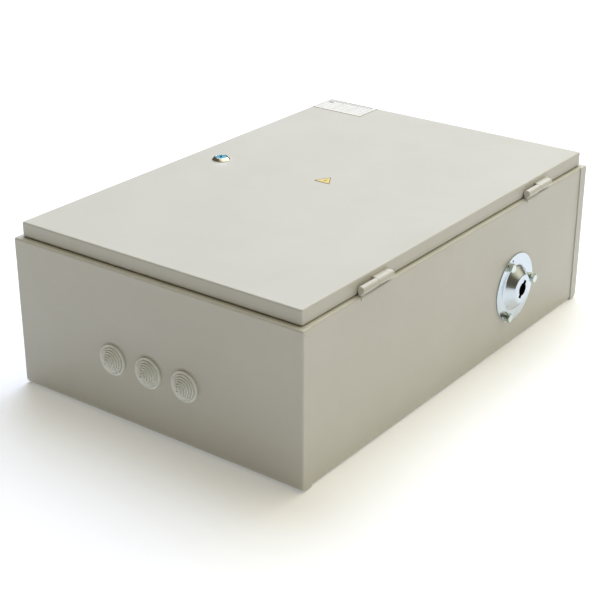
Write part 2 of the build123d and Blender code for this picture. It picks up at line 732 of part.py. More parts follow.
with BuildPart() as arc_chutes:
    for x in POLE_X:
        inside_x = (x - CHUTE_HALF + CHUTE_WALL, x + CHUTE_HALF - CHUTE_WALL)
        for side in (-1, 1):
            near, far = SHAFT_Y + side * CHUTE_NEAR, SHAFT_Y + side * CHUTE_FAR
            block((x - CHUTE_HALF, x + CHUTE_HALF), (near, far), (BLOCK_TOP, CHUTE_TOP))
            # Open towards the shaft, with gaps over the bar and short legs beside it.
            block(
                inside_x,
                (near - side, far - side * CHUTE_WALL),
                (BLOCK_TOP - 1, CHUTE_TOP - CHUTE_WALL),
                mode=Mode.SUBTRACT,
            )
            block(
                inside_x,
                (far - side * 4, far + side),
                (BLOCK_TOP - 1, CHUTE_LEG_TOP),
                mode=Mode.SUBTRACT,
            )
            block(
                (x - CHUTE_HALF - 1, x + CHUTE_HALF + 1),
                (near - side, SHAFT_Y + side * BLOCK_NEAR),
                (BLOCK_TOP - 1, CHUTE_LEG_TOP),
                mode=Mode.SUBTRACT,
            )
            for vent in range(4):
                vent_y = near + side * (6 + 6 * vent)
                block(
                    (x - 8, x + 8),
                    (vent_y, vent_y + side * 2.5),
                    (CHUTE_TOP - CHUTE_WALL - 1, CHUTE_TOP + 1),
                    mode=Mode.SUBTRACT,
                )
save(arc_chutes, "arc_chutes")

with BuildPart() as phase_barriers:
    for pole in range(5):
        x = POLE_X[0] + (pole - 0.5) * POLE_PITCH
        block(
            (x - 1, x + 1),
            (SHAFT_Y - BLOCK_NEAR + 0.2, SHAFT_Y + BLOCK_NEAR - 0.2),
            (BASE_TOP, BARRIER_TOP),
        )
        block((x - 1, x + 1), (SHAFT_Y - 80, SHAFT_Y + 80), (BLOCK_TOP, JAW_TOP))
    rod((BASE_LEFT, SHAFT_Y, SHAFT_Z), (BASE_RIGHT, SHAFT_Y, SHAFT_Z), 9, mode=Mode.SUBTRACT)
save(phase_barriers, "phase_barriers")

with BuildPart() as switch_shaft:
    rod((GEAR_LEFT - 1, SHAFT_Y, SHAFT_Z), (SHAFT_END, SHAFT_Y, SHAFT_Z), SHAFT_R)
save(switch_shaft, "switch_shaft")

with BuildPart() as blade_hubs:
    for x in POLE_X:
        rod((x - 8, SHAFT_Y, SHAFT_Z), (x + 8, SHAFT_Y, SHAFT_Z), HUB_R)
    rod(
        (BASE_LEFT, SHAFT_Y, SHAFT_Z),
        (BASE_RIGHT, SHAFT_Y, SHAFT_Z),
        SHAFT_R + 0.03,
        mode=Mode.SUBTRACT,
    )
save(blade_hubs, "blade_hubs")

with BuildPart() as moving_blades:
    for x in POLE_X:
        with BuildSketch(facing_x(x - BLADE_HALF, SHAFT_Y, SHAFT_Z)):
            Circle(RING_R)
            with Locations((0, BLADE_REACH / 2)):
                Rectangle(BLADE_WIDTH, BLADE_REACH)
            Circle(HUB_R + 0.03, mode=Mode.SUBTRACT)
        extrude(amount=2 * BLADE_HALF)
save(moving_blades, "moving_blades")


# ==== drive ==================================================================================
def involute_tooth(teeth):
    """One tooth on the +X side of a spur gear centred on the origin, from below the root to the tip."""
    pitch_r = MODULE * teeth / 2
    base_r = pitch_r * math.cos(PRESSURE_ANGLE)
    tip_r = pitch_r + MODULE
    start_r = max(base_r, pitch_r - 1.25 * MODULE)
    half_tooth = (math.pi * MODULE / 2 - BACKLASH) / (2 * pitch_r)

    def flank_point(radius, side):
        roll = math.acos(min(1.0, base_r / radius))
        turn = half_tooth + (math.tan(PRESSURE_ANGLE) - PRESSURE_ANGLE) - (math.tan(roll) - roll)
        return (radius * math.cos(turn), side * radius * math.sin(turn))

    radii = [start_r + (tip_r - start_r) * step / 5 for step in range(6)]
    upper = [flank_point(radius, 1) for radius in radii]
    lower = [flank_point(radius, -1) for radius in radii]
    inner = pitch_r - 1.25 * MODULE - 0.3
    foot = math.atan2(upper[0][1], upper[0][0])
    root = (inner * math.cos(foot), inner * math.sin(foot))
    with BuildSketch() as tooth:
        with BuildLine():
            Spline(*upper)
            Line(upper[-1], lower[-1])
            Spline(*lower)
            Line(lower[0], (root[0], -root[1]))
            Line((root[0], -root[1]), root)
            Line(root, upper[0])
        make_face()
    return tooth.sketch


def gear_blank(teeth, x, y, width, first_tooth):
    """A spur gear on an axis along X, with its first tooth at the angle given from +Y."""
    tooth = involute_tooth(teeth)
    with BuildPart() as gear:
        with BuildSketch(facing_x(x, y, SHAFT_Z)):
            Circle(MODULE * teeth / 2 - 1.25 * MODULE)
            with PolarLocations(0, teeth, start_angle=first_tooth):
                add(tooth)
        extrude(amount=width)
    return gear.part


with BuildPart() as drive_gear:
    add(gear_blank(GEAR_TEETH, GEAR_LEFT, SHAFT_Y, GEAR_WIDTH, 0))
    rod(
        (GEAR_LEFT - 1, SHAFT_Y, SHAFT_Z),
        (GEAR_LEFT + GEAR_WIDTH + 1, SHAFT_Y, SHAFT_Z),
        SHAFT_R + 0.03,
        mode=Mode.SUBTRACT,
    )
    with BuildSketch(facing_x(GEAR_LEFT, SHAFT_Y, SHAFT_Z)):
        with PolarLocations(16.5, 6):
            Circle(4.5)
    extrude(amount=GEAR_WIDTH, mode=Mode.SUBTRACT)
save(drive_gear, "drive_gear")

with BuildPart() as motor_pinion:
    add(gear_blank(PINION_TEETH, GEAR_LEFT, PINION_Y, GEAR_WIDTH, 180 / PINION_TEETH))
    rod((GEARBOX_RIGHT - 14, PINION_Y, SHAFT_Z), (GEAR_LEFT + GEAR_WIDTH, PINION_Y, SHAFT_Z), PINION_SHAFT_R)
save(motor_pinion, "motor_pinion")

with BuildPart() as motor_bracket:
    bracket_y = (PINION_Y - BRACKET_HALF, PINION_Y + BRACKET_HALF)
    block((GEARBOX_RIGHT, GEARBOX_RIGHT + CHEEK), bracket_y, (PLATE_TOP, BRACKET_TOP))
    block((GEARBOX_LEFT + 4, GEARBOX_RIGHT + CHEEK), bracket_y, (PLATE_TOP, PLATE_TOP + CHEEK))
    fillet(motor_bracket.edges().filter_by(Axis.X).group_by(Axis.Z)[-1], radius=8)
    rod(
        (GEARBOX_RIGHT - 1, PINION_Y, SHAFT_Z),
        (GEARBOX_RIGHT + CHEEK + 1, PINION_Y, SHAFT_Z),
        PINION_SHAFT_R + 2,
        mode=Mode.SUBTRACT,
    )
save(motor_bracket, "motor_bracket")

with BuildPart() as drive_motor:
    block(
        (GEARBOX_LEFT, GEARBOX_RIGHT),
        (PINION_Y - GEARBOX_HALF, PINION_Y + GEARBOX_HALF),
        (SHAFT_Z - GEARBOX_HALF, SHAFT_Z + GEARBOX_HALF),
    )
    fillet(drive_motor.edges().filter_by(Axis.X), radius=4)
    rod((MOTOR_LEFT, PINION_Y, SHAFT_Z), (GEARBOX_LEFT, PINION_Y, SHAFT_Z), MOTOR_R)
    rod((MOTOR_LEFT - 5, PINION_Y, SHAFT_Z), (MOTOR_LEFT, PINION_Y, SHAFT_Z), 7)
    rod(
        (GEARBOX_RIGHT - 16, PINION_Y, SHAFT_Z),
        (GEARBOX_RIGHT + 1, PINION_Y, SHAFT_Z),
        PINION_SHAFT_R + 0.05,
        mode=Mode.SUBTRACT,
    )
save(drive_motor, "drive_motor")

with BuildPart() as handle_socket:
    rod((SOCKET_LEFT, SHAFT_Y, SHAFT_Z), (SOCKET_RIGHT, SHAFT_Y, SHAFT_Z), SOCKET_R)
    rod(
        (SOCKET_LEFT - 3, SHAFT_Y, SHAFT_Z),
        (SHAFT_END + 0.2, SHAFT_Y, SHAFT_Z),
        SHAFT_R + 0.03,
        mode=Mode.SUBTRACT,
    )
    with BuildSketch(facing_x(SOCKET_FLOOR, SHAFT_Y, SHAFT_Z)):
        Circle(KEYHOLE_R + 0.2)
        Rectangle(KEYHOLE_NOTCH + 0.4, KEYHOLE_LONG + 0.4, rotation=KEYHOLE_TILT)
    extrude(amount=20, mode=Mode.SUBTRACT)
save(handle_socket, "handle_socket")


# ==== rails ==================================================================================
def clip_over_rail(left, right, rail_y):
    """Cut the hollow in a device's back that sits over the rail."""
    block(
        (left - 1, right + 1),
        (rail_y - RAIL_RECESS, rail_y + RAIL_RECESS),
        (0, DEVICE_LOW),
        mode=Mode.SUBTRACT,
    )


with BuildPart() as din_rails:
    for rail_y in RAIL_Y:
        with BuildSketch(facing_x(RAIL_LEFT, rail_y, PLATE_TOP)):
            with BuildLine():
                FilletPolyline(
                    (-17.5, 7.0),
                    (-12.5, 7.0),
                    (-12.5, 0.5),
                    (12.5, 0.5),
                    (12.5, 7.0),
                    (17.5, 7.0),
                    radius=1.0,
                )
            trace(line_width=1.0)
        extrude(amount=RAIL_RIGHT - RAIL_LEFT)
save(din_rails, "din_rails")

with BuildPart() as rail_stops:
    terminal_end = TERMINAL_X + TERMINAL_PITCH * TERMINAL_COUNT
    controller_end = CONTROLLER_X + CONTROLLER_WIDTH
    for rail_y, x in (
        (RAIL_Y[0], BREAKER_X[0] - STOP_WIDTH - 0.5),
        (RAIL_Y[0], controller_end + 1),
        (RAIL_Y[1], TERMINAL_X - STOP_WIDTH - 0.5),
        (RAIL_Y[1], terminal_end + 0.5),
    ):
        middle = x + STOP_WIDTH / 2
        block((x, x + STOP_WIDTH), (rail_y - 22, rail_y + 22), (DEVICE_FOOT, STOP_TOP))
        clip_over_rail(x, x + STOP_WIDTH, rail_y)
        rod((middle, rail_y, STOP_TOP - 6), (middle, rail_y, STOP_TOP + 1), 2.5, mode=Mode.SUBTRACT)
save(rail_stops, "rail_stops")


# ==== control breakers =======================================================================
def breaker_housing(left):
    """A two-pole breaker body with a raised nose, screw wells and a toggle recess."""
    rail_y = RAIL_Y[0]
    right = left + BREAKER_WIDTH
    with BuildPart() as housing:
        block((left, right), (rail_y - BREAKER_HALF, rail_y + BREAKER_HALF), (DEVICE_FOOT, 68))
        block((left, right), (rail_y - 22.5, rail_y + 22.5), (60, 84))
        clip_over_rail(left, right, rail_y)
        for pole_x in (left + 9, left + 27):
            for side in (-1, 1):
                well_y = rail_y + side * 34
                rod((pole_x, well_y, 58), (pole_x, well_y, 70), 3.2, mode=Mode.SUBTRACT)
        rod(
            (left + 8, rail_y, TOGGLE_Z),
            (right - 8, rail_y, TOGGLE_Z),
            TOGGLE_R + 0.08,
            mode=Mode.SUBTRACT,
        )
        block((left + 8, right - 8), (rail_y - 13.5, rail_y + 13.5), (80, 85), mode=Mode.SUBTRACT)
    return housing


def breaker_toggle(left):
    """The linked toggle of both poles, resting at OFF."""
    middle = left + BREAKER_WIDTH / 2
    rail_y = RAIL_Y[0]
    lever = Plane(
        origin=(middle, rail_y, TOGGLE_Z),
        x_dir=(1, 0, 0),
        z_dir=(0, -math.sin(TOGGLE_ANGLE), math.cos(TOGGLE_ANGLE)),
    )
    with BuildPart() as toggle:
        rod((left + 8.2, rail_y, TOGGLE_Z), (left + BREAKER_WIDTH - 8.2, rail_y, TOGGLE_Z), TOGGLE_R)
        with BuildSketch(lever):
            RectangleRounded(19.4, 4.6, 1)
        extrude(amount=17.5)
    return toggle


for name, left in zip(("breaker_one", "breaker_two"), BREAKER_X):
    save(breaker_housing(left), f"{name}_housing")
    save(breaker_toggle(left), f"{name}_toggle")

with BuildPart() as phase_relays:
    for left in RELAY_X:
        right = left + BREAKER_WIDTH
        block((left, right), (RAIL_Y[0] - 45, RAIL_Y[0] + 45), (DEVICE_FOOT, 72))
        block((left, right), (RAIL_Y[0] - 30, RAIL_Y[0] + 30), (60, RELAY_TOP))
        clip_over_rail(left, right, RAIL_Y[0])
        for dial_y in (-16, 0):
            dial = (left + 18, RAIL_Y[0] + dial_y)
            rod((*dial, RELAY_TOP - 1.5), (*dial, RELAY_TOP + 2), 5.5, mode=Mode.SUBTRACT)
        for pole_x in (left + 7, left + 18, left + 29):
            for side in (-1, 1):
                well_y = RAIL_Y[0] + side * 38
                rod((pole_x, well_y, 62), (pole_x, well_y, 74), 2.8, mode=Mode.SUBTRACT)
save(phase_relays, "phase_relays")


# ==== controller =============================================================================
CONTROLLER_RIGHT = CONTROLLER_X + CONTROLLER_WIDTH
KNOB_AT = (CONTROLLER_RIGHT - 22, RAIL_Y[0] - 8)
BUTTON_AT = (CONTROLLER_X + 20, RAIL_Y[0] - 20)
WINDOW_X = (CONTROLLER_X + 10, CONTROLLER_X + 62)
WINDOW_Y = (RAIL_Y[0] - 2, RAIL_Y[0] + 24)

with BuildPart() as controller_housing:
    block((CONTROLLER_X, CONTROLLER_RIGHT), (RAIL_Y[0] - 45, RAIL_Y[0] + 45), (DEVICE_FOOT, 66))
    block((CONTROLLER_X, CONTROLLER_RIGHT), (RAIL_Y[0] - 32, RAIL_Y[0] + 32), (60, CONTROLLER_TOP))
    fillet(controller_housing.faces().sort_by(Axis.Z)[-1].edges(), radius=1.5)
    clip_over_rail(CONTROLLER_X, CONTROLLER_RIGHT, RAIL_Y[0])
    block(WINDOW_X, WINDOW_Y, (CONTROLLER_TOP - 1.2, CONTROLLER_TOP + 1), mode=Mode.SUBTRACT)
    rod((*KNOB_AT, CONTROLLER_TOP - 12), (*KNOB_AT, CONTROLLER_TOP + 1), 4.05, mode=Mode.SUBTRACT)
    rod((*BUTTON_AT, CONTROLLER_TOP - 10), (*BUTTON_AT, CONTROLLER_TOP + 1), 6.08, mode=Mode.SUBTRACT)
    for step in range(9):
        for side in (-1, 1):
            well = (CONTROLLER_X + 10 + 11 * step, RAIL_Y[0] + side * 39)
            rod((*well, 56), (*well, 68), 2.8, mode=Mode.SUBTRACT)
save(controller_housing, "controller_housing")

with BuildPart() as controller_window:
    block(
        (WINDOW_X[0] + 0.2, WINDOW_X[1] - 0.2),
        (WINDOW_Y[0] + 0.2, WINDOW_Y[1] - 0.2),
        (CONTROLLER_TOP - 1.2, CONTROLLER_TOP + 0.3),
    )
save(controller_window, "controller_window")

with BuildPart() as selector_knob:
    rod((*KNOB_AT, CONTROLLER_TOP - 11), (*KNOB_AT, CONTROLLER_TOP + 1), 4)
    rod((*KNOB_AT, CONTROLLER_TOP + 0.3), (*KNOB_AT, CONTROLLER_TOP + 5), 11)
    block(
        (KNOB_AT[0] - 3, KNOB_AT[0] + 3),
        (KNOB_AT[1] - 10.5, KNOB_AT[1] + 10.5),
        (CONTROLLER_TOP + 4, CONTROLLER_TOP + 14),
    )
save(selector_knob, "selector_knob")

with BuildPart() as test_button:
    rod((*BUTTON_AT, CONTROLLER_TOP - 7), (*BUTTON_AT, CONTROLLER_TOP + 3.5), 6)
    fillet(test_button.edges().sort_by(Axis.Z)[-1], radius=0.8)
save(test_button, "test_button")


# ==== terminals and earth bar ================================================================
with BuildPart() as terminal_blocks:
    for step in range(TERMINAL_COUNT):
        left = TERMINAL_X + TERMINAL_PITCH * step
        right = left + TERMINAL_PITCH - 0.1
        middle = (left + right) / 2
        block((left, right), (RAIL_Y[1] - 26, RAIL_Y[1] + 26), (DEVICE_FOOT, 52))
        block((left, right), (RAIL_Y[1] - 19, RAIL_Y[1] + 19), (50, 60))
        block((left, right), (RAIL_Y[1] - 6, RAIL_Y[1] + 6), (60, 64))
        clip_over_rail(left, right, RAIL_Y[1])
        for side in (-1, 1):
            well_y = RAIL_Y[1] + side * 12.5
            rod((middle, well_y, 52), (middle, well_y, 62), 2.6, mode=Mode.SUBTRACT)
save(terminal_blocks, "terminal_blocks")

with BuildPart() as earth_bar:
    block((-90, 90), (EARTH_Y - 6, EARTH_Y + 6), (30, 35))
    for side in (-1, 1):
        block((side * 90, side * 86), (EARTH_Y - 6, EARTH_Y + 6), (PLATE_TOP, 35))
        block((side * 104, side * 86), (EARTH_Y - 6, EARTH_Y + 6), (PLATE_TOP, PLATE_TOP + 4))
    with Locations((0, EARTH_Y, 30)):
        with GridLocations(EARTH_PITCH, 0, EARTH_COUNT, 1):
            Cylinder(2.55, 20, mode=Mode.SUBTRACT)
    with Locations((0, EARTH_Y, 36.4)):
        with GridLocations(EARTH_PITCH, 0, EARTH_COUNT, 1):
            Cylinder(4.2, 2.7)
    with Locations((0, EARTH_Y, 31.6)):
        with GridLocations(EARTH_PITCH, 0, EARTH_COUNT, 1):
            Cylinder(2.5, 7)
save(earth_bar, "earth_bar")


# ==== wire ducts =============================================================================
DUCTS = (
    ((-163, -143.5), (-236, 24), Axis.Y),
    ((-141.5, 160), (-120, -98), Axis.X),
)

with BuildPart() as wire_ducts:
    for x, y, along in DUCTS:
        block(x, y, (PLATE_TOP, DUCT_TOP))
        hollow_x = (x[0] + DUCT_WALL, x[1] - DUCT_WALL) if along == Axis.Y else (x[0] - 1, x[1] + 1)
        hollow_y = (y[0] + DUCT_WALL, y[1] - DUCT_WALL) if along == Axis.X else (y[0] - 1, y[1] + 1)
        block(hollow_x, hollow_y, (PLATE_TOP + DUCT_WALL, DUCT_TOP + 1), mode=Mode.SUBTRACT)
        length = (x[1] - x[0]) if along == Axis.X else (y[1] - y[0])
        slots = int(length / DUCT_PITCH) - 1
        middle = ((x[0] + x[1]) / 2, (y[0] + y[1]) / 2, DUCT_TOP - 7)
        across = (DUCT_PITCH, 1, slots, 1) if along == Axis.X else (1, DUCT_PITCH, 1, slots)
        size = (3.2, 40, 26) if along == Axis.X else (40, 3.2, 26)
        with Locations(middle):
            with GridLocations(*across):
                Box(*size, mode=Mode.SUBTRACT)
save(wire_ducts, "wire_ducts")

with BuildPart() as duct_covers:
    for x, y, along in DUCTS:
        grow_x = 1.4 if along == Axis.Y else 0
        grow_y = 1.4 if along == Axis.X else 0
        block((x[0] - grow_x, x[1] + grow_x), (y[0] - grow_y, y[1] + grow_y), (DUCT_TOP - 5, DUCT_TOP + 1.6))
        block(
            (x[0] - (0.15 if grow_x else 1), x[1] + (0.15 if grow_x else 1)),
            (y[0] - (0.15 if grow_y else 1), y[1] + (0.15 if grow_y else 1)),
            (DUCT_TOP - 6, DUCT_TOP + 0.1),
            mode=Mode.SUBTRACT,
        )
save(duct_covers, "duct_covers")


# ==== control wiring =========================================================================
WIRE_Z = 43.0
device_wells = [left + offset_x for left in BREAKER_X for offset_x in (9, 27)]
device_wells += [left + offset_x for left in RELAY_X for offset_x in (7, 18, 29)]
device_wells += [CONTROLLER_X + 10 + 11 * step for step in range(9)]

with BuildPart() as control_wires:
    # Out of the devices' lower ends, straight into the duct below them.
    for x in device_wells:
        rod((x, RAIL_Y[0] - 45.2, WIRE_Z), (x, -97.8, WIRE_Z), WIRE_R)
    # Out of the terminal blocks' upper ends, up into the same duct.
    for step in range(TERMINAL_COUNT):
        x = TERMINAL_X + TERMINAL_PITCH * (step + 0.5)
        rod((x, RAIL_Y[1] + 26.1, 40), (x, -120.2, 40), WIRE_R)
save(control_wires, "control_wires")
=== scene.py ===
import json
import math

import bmesh
import bpy
from mathutils import Matrix, Vector


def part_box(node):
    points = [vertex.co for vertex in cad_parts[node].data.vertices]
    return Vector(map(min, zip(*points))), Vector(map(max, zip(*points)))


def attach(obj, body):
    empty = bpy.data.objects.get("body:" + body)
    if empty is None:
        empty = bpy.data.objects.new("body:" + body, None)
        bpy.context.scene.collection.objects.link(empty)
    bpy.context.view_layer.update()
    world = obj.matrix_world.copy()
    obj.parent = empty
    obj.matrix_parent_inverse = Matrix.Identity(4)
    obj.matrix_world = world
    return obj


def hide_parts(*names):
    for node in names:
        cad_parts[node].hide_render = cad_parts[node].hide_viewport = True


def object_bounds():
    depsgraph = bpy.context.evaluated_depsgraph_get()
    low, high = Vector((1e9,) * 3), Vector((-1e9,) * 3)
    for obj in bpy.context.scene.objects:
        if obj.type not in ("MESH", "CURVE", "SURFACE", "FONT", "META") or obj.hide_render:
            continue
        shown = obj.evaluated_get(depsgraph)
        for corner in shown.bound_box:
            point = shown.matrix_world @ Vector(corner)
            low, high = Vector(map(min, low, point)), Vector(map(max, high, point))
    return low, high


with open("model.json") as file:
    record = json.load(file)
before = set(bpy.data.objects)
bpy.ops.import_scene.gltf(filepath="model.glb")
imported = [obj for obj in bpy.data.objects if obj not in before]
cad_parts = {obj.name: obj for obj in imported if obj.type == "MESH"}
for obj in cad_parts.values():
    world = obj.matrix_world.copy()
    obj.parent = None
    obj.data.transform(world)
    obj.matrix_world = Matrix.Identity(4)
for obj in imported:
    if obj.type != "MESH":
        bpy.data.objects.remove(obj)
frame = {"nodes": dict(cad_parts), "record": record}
cad_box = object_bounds()
nodes = frame["nodes"]
scene = bpy.context.scene

MM = 0.001

# ==== camera =================================================================================
# Seen from above the corner where the hinged wall meets the wall with the cable entries.
CAMERA_AT = (0.9293, -1.2806, 0.7780)
CAMERA_ELEVATION = 24.71
CAMERA_TURN = 36.78
CAMERA_LENS = 85.37

camera_data = bpy.data.cameras.new("camera")
camera_data.sensor_width = 36.0
camera_data.lens = CAMERA_LENS
camera_data.clip_end = 50.0
camera = bpy.data.objects.new("camera", camera_data)
camera.location = CAMERA_AT
camera.rotation_euler = (math.radians(90 - CAMERA_ELEVATION), 0, math.radians(CAMERA_TURN))
scene.collection.objects.link(camera)
scene.camera = camera


# ==== materials ==============================================================================
def linear(red, green, blue):
    """A display colour, 0 to 255, as a linear one with alpha."""
    def channel(value):
        value /= 255
        return value / 12.92 if value <= 0.04045 else ((value + 0.055) / 1.055) ** 2.4
    return (channel(red), channel(green), channel(blue), 1.0)


def add_node(tree, kind, settings=None, **inputs):
    """A shader node with its settings and inputs; an input is a value or another node's output."""
    node = tree.nodes.new("ShaderNode" + kind)
    for key, value in (settings or {}).items():
        setattr(node, key, value)
    for key, value in inputs.items():
        socket = node.inputs[int(key[1:])] if key[1:].isdigit() else node.inputs[key.replace("_", " ")]
        if isinstance(value, bpy.types.NodeSocket):
            tree.links.new(value, socket)
        else:
            socket.default_value = value
    return node


def spread(tree, value, low, high, from_low=0.3, from_high=0.7):
    """Maps a noise value onto a range."""
    return add_node(
        tree, "MapRange", None, Value=value, From_Min=from_low, From_Max=from_high, To_Min=low, To_Max=high
    ).outputs["Result"]


def mix_colour(tree, factor, first, second):
    """Two colours mixed by a factor, which is a value or a node's output."""
    node = add_node(tree, "Mix", {"data_type": "RGBA"}, i0=factor, i6=first, i7=second)
    return node.outputs[2]


def finish(
    name,
    light,
    dark,
    mottle=20.0,
    roughness=(0.4, 0.5),
    grain=((900.0, 0.00004),),
    metal=0.0,
    stretch=(1, 1, 1),
    edge=None,
    edge_width=0.0006,
    speckle=None,
    settings=None,
):
    """A material whose colour, roughness and relief all vary over the surface.

    light and dark are mixed in soft patches, mottle of them to the metre. grain lists the reliefs as
    (patches to the metre, height in metres). edge is a painted highlight: the lighter colour laid in
    patches on every corner and fold, edge_width wide.
    """
    material = bpy.data.materials.new(name)
    material.use_nodes = True
    tree = material.node_tree
    shader = tree.nodes["Principled BSDF"]
    place = add_node(tree, "TexCoord").outputs["Object"]
    place = add_node(tree, "Mapping", None, Vector=place, Scale=stretch).outputs["Vector"]
    patches = add_node(tree, "TexNoise", None, Vector=place, Scale=mottle, Detail=4.0, Roughness=0.6)
    colour = mix_colour(tree, spread(tree, patches.outputs["Fac"], 0, 1), light, dark)
    if speckle:
        dots = add_node(tree, "TexNoise", None, Vector=place, Scale=speckle[0], Detail=1.0)
        amount = spread(tree, dots.outputs["Fac"], 0, speckle[1], 0.45, 0.75)
        colour = mix_colour(tree, amount, colour, speckle[2])
    smear = add_node(tree, "TexNoise", None, Vector=place, Scale=mottle * 3.1, Detail=5.0, Roughness=0.7)
    rough = spread(tree, smear.outputs["Fac"], roughness[0], roughness[1])
    # Painted highlight: corners and folds are lightened in patches towards the edge colour.
    if edge:
        bevel = add_node(tree, "Bevel", {"samples": 8}, Radius=edge_width)
        flat = add_node(tree, "NewGeometry").outputs["True Normal"]
        dot = add_node(tree, "VectorMath", {"operation": "DOT_PRODUCT"}, i0=bevel.outputs[0], i1=flat)
        corner = spread(tree, dot.outputs["Value"], 0.8, 0.0, 0.80, 0.99)
        edge_highlight = add_node(tree, "Math", {"operation": "MULTIPLY"}, i0=corner, i1=smear.outputs["Fac"])
        colour = mix_colour(tree, edge_highlight.outputs[0], colour, edge)
    normal = None
    for scale, height in grain:
        relief = add_node(tree, "TexNoise", None, Vector=place, Scale=scale, Detail=2.0)
        bump = add_node(tree, "Bump", None, Height=relief.outputs["Fac"], Distance=height, Strength=1.0)
        if normal:
            tree.links.new(normal, bump.inputs["Normal"])
        normal = bump.outputs["Normal"]
    tree.links.new(colour, shader.inputs["Base Color"])
    tree.links.new(rough, shader.inputs["Roughness"])
    if normal:
        tree.links.new(normal, shader.inputs["Normal"])
    shader.inputs["Metallic"].default_value = metal
    for key, value in (settings or {}).items():
        shader.inputs[key].default_value = value
    return material


def spangled(material, cells, lighter, darker):
    """Adds the crystal pattern of hot-dip zinc to a material."""
    tree = material.node_tree
    shader = tree.nodes["Principled BSDF"]
    place = add_node(tree, "TexCoord").outputs["Object"]
    crystals = add_node(tree, "TexVoronoi", None, Vector=place, Scale=cells)
    shade = add_node(tree, "RGBToBW", None, Color=crystals.outputs["Color"]).outputs[0]
    old = shader.inputs["Base Color"].links[0].from_socket
    tint = mix_colour(tree, shade, darker, lighter)
    tree.links.new(mix_colour(tree, 0.6, old, tint), shader.inputs["Base Color"])
    tree.links.new(spread(tree, shade, 0.28, 0.52, 0.0, 1.0), shader.inputs["Roughness"])
    return material


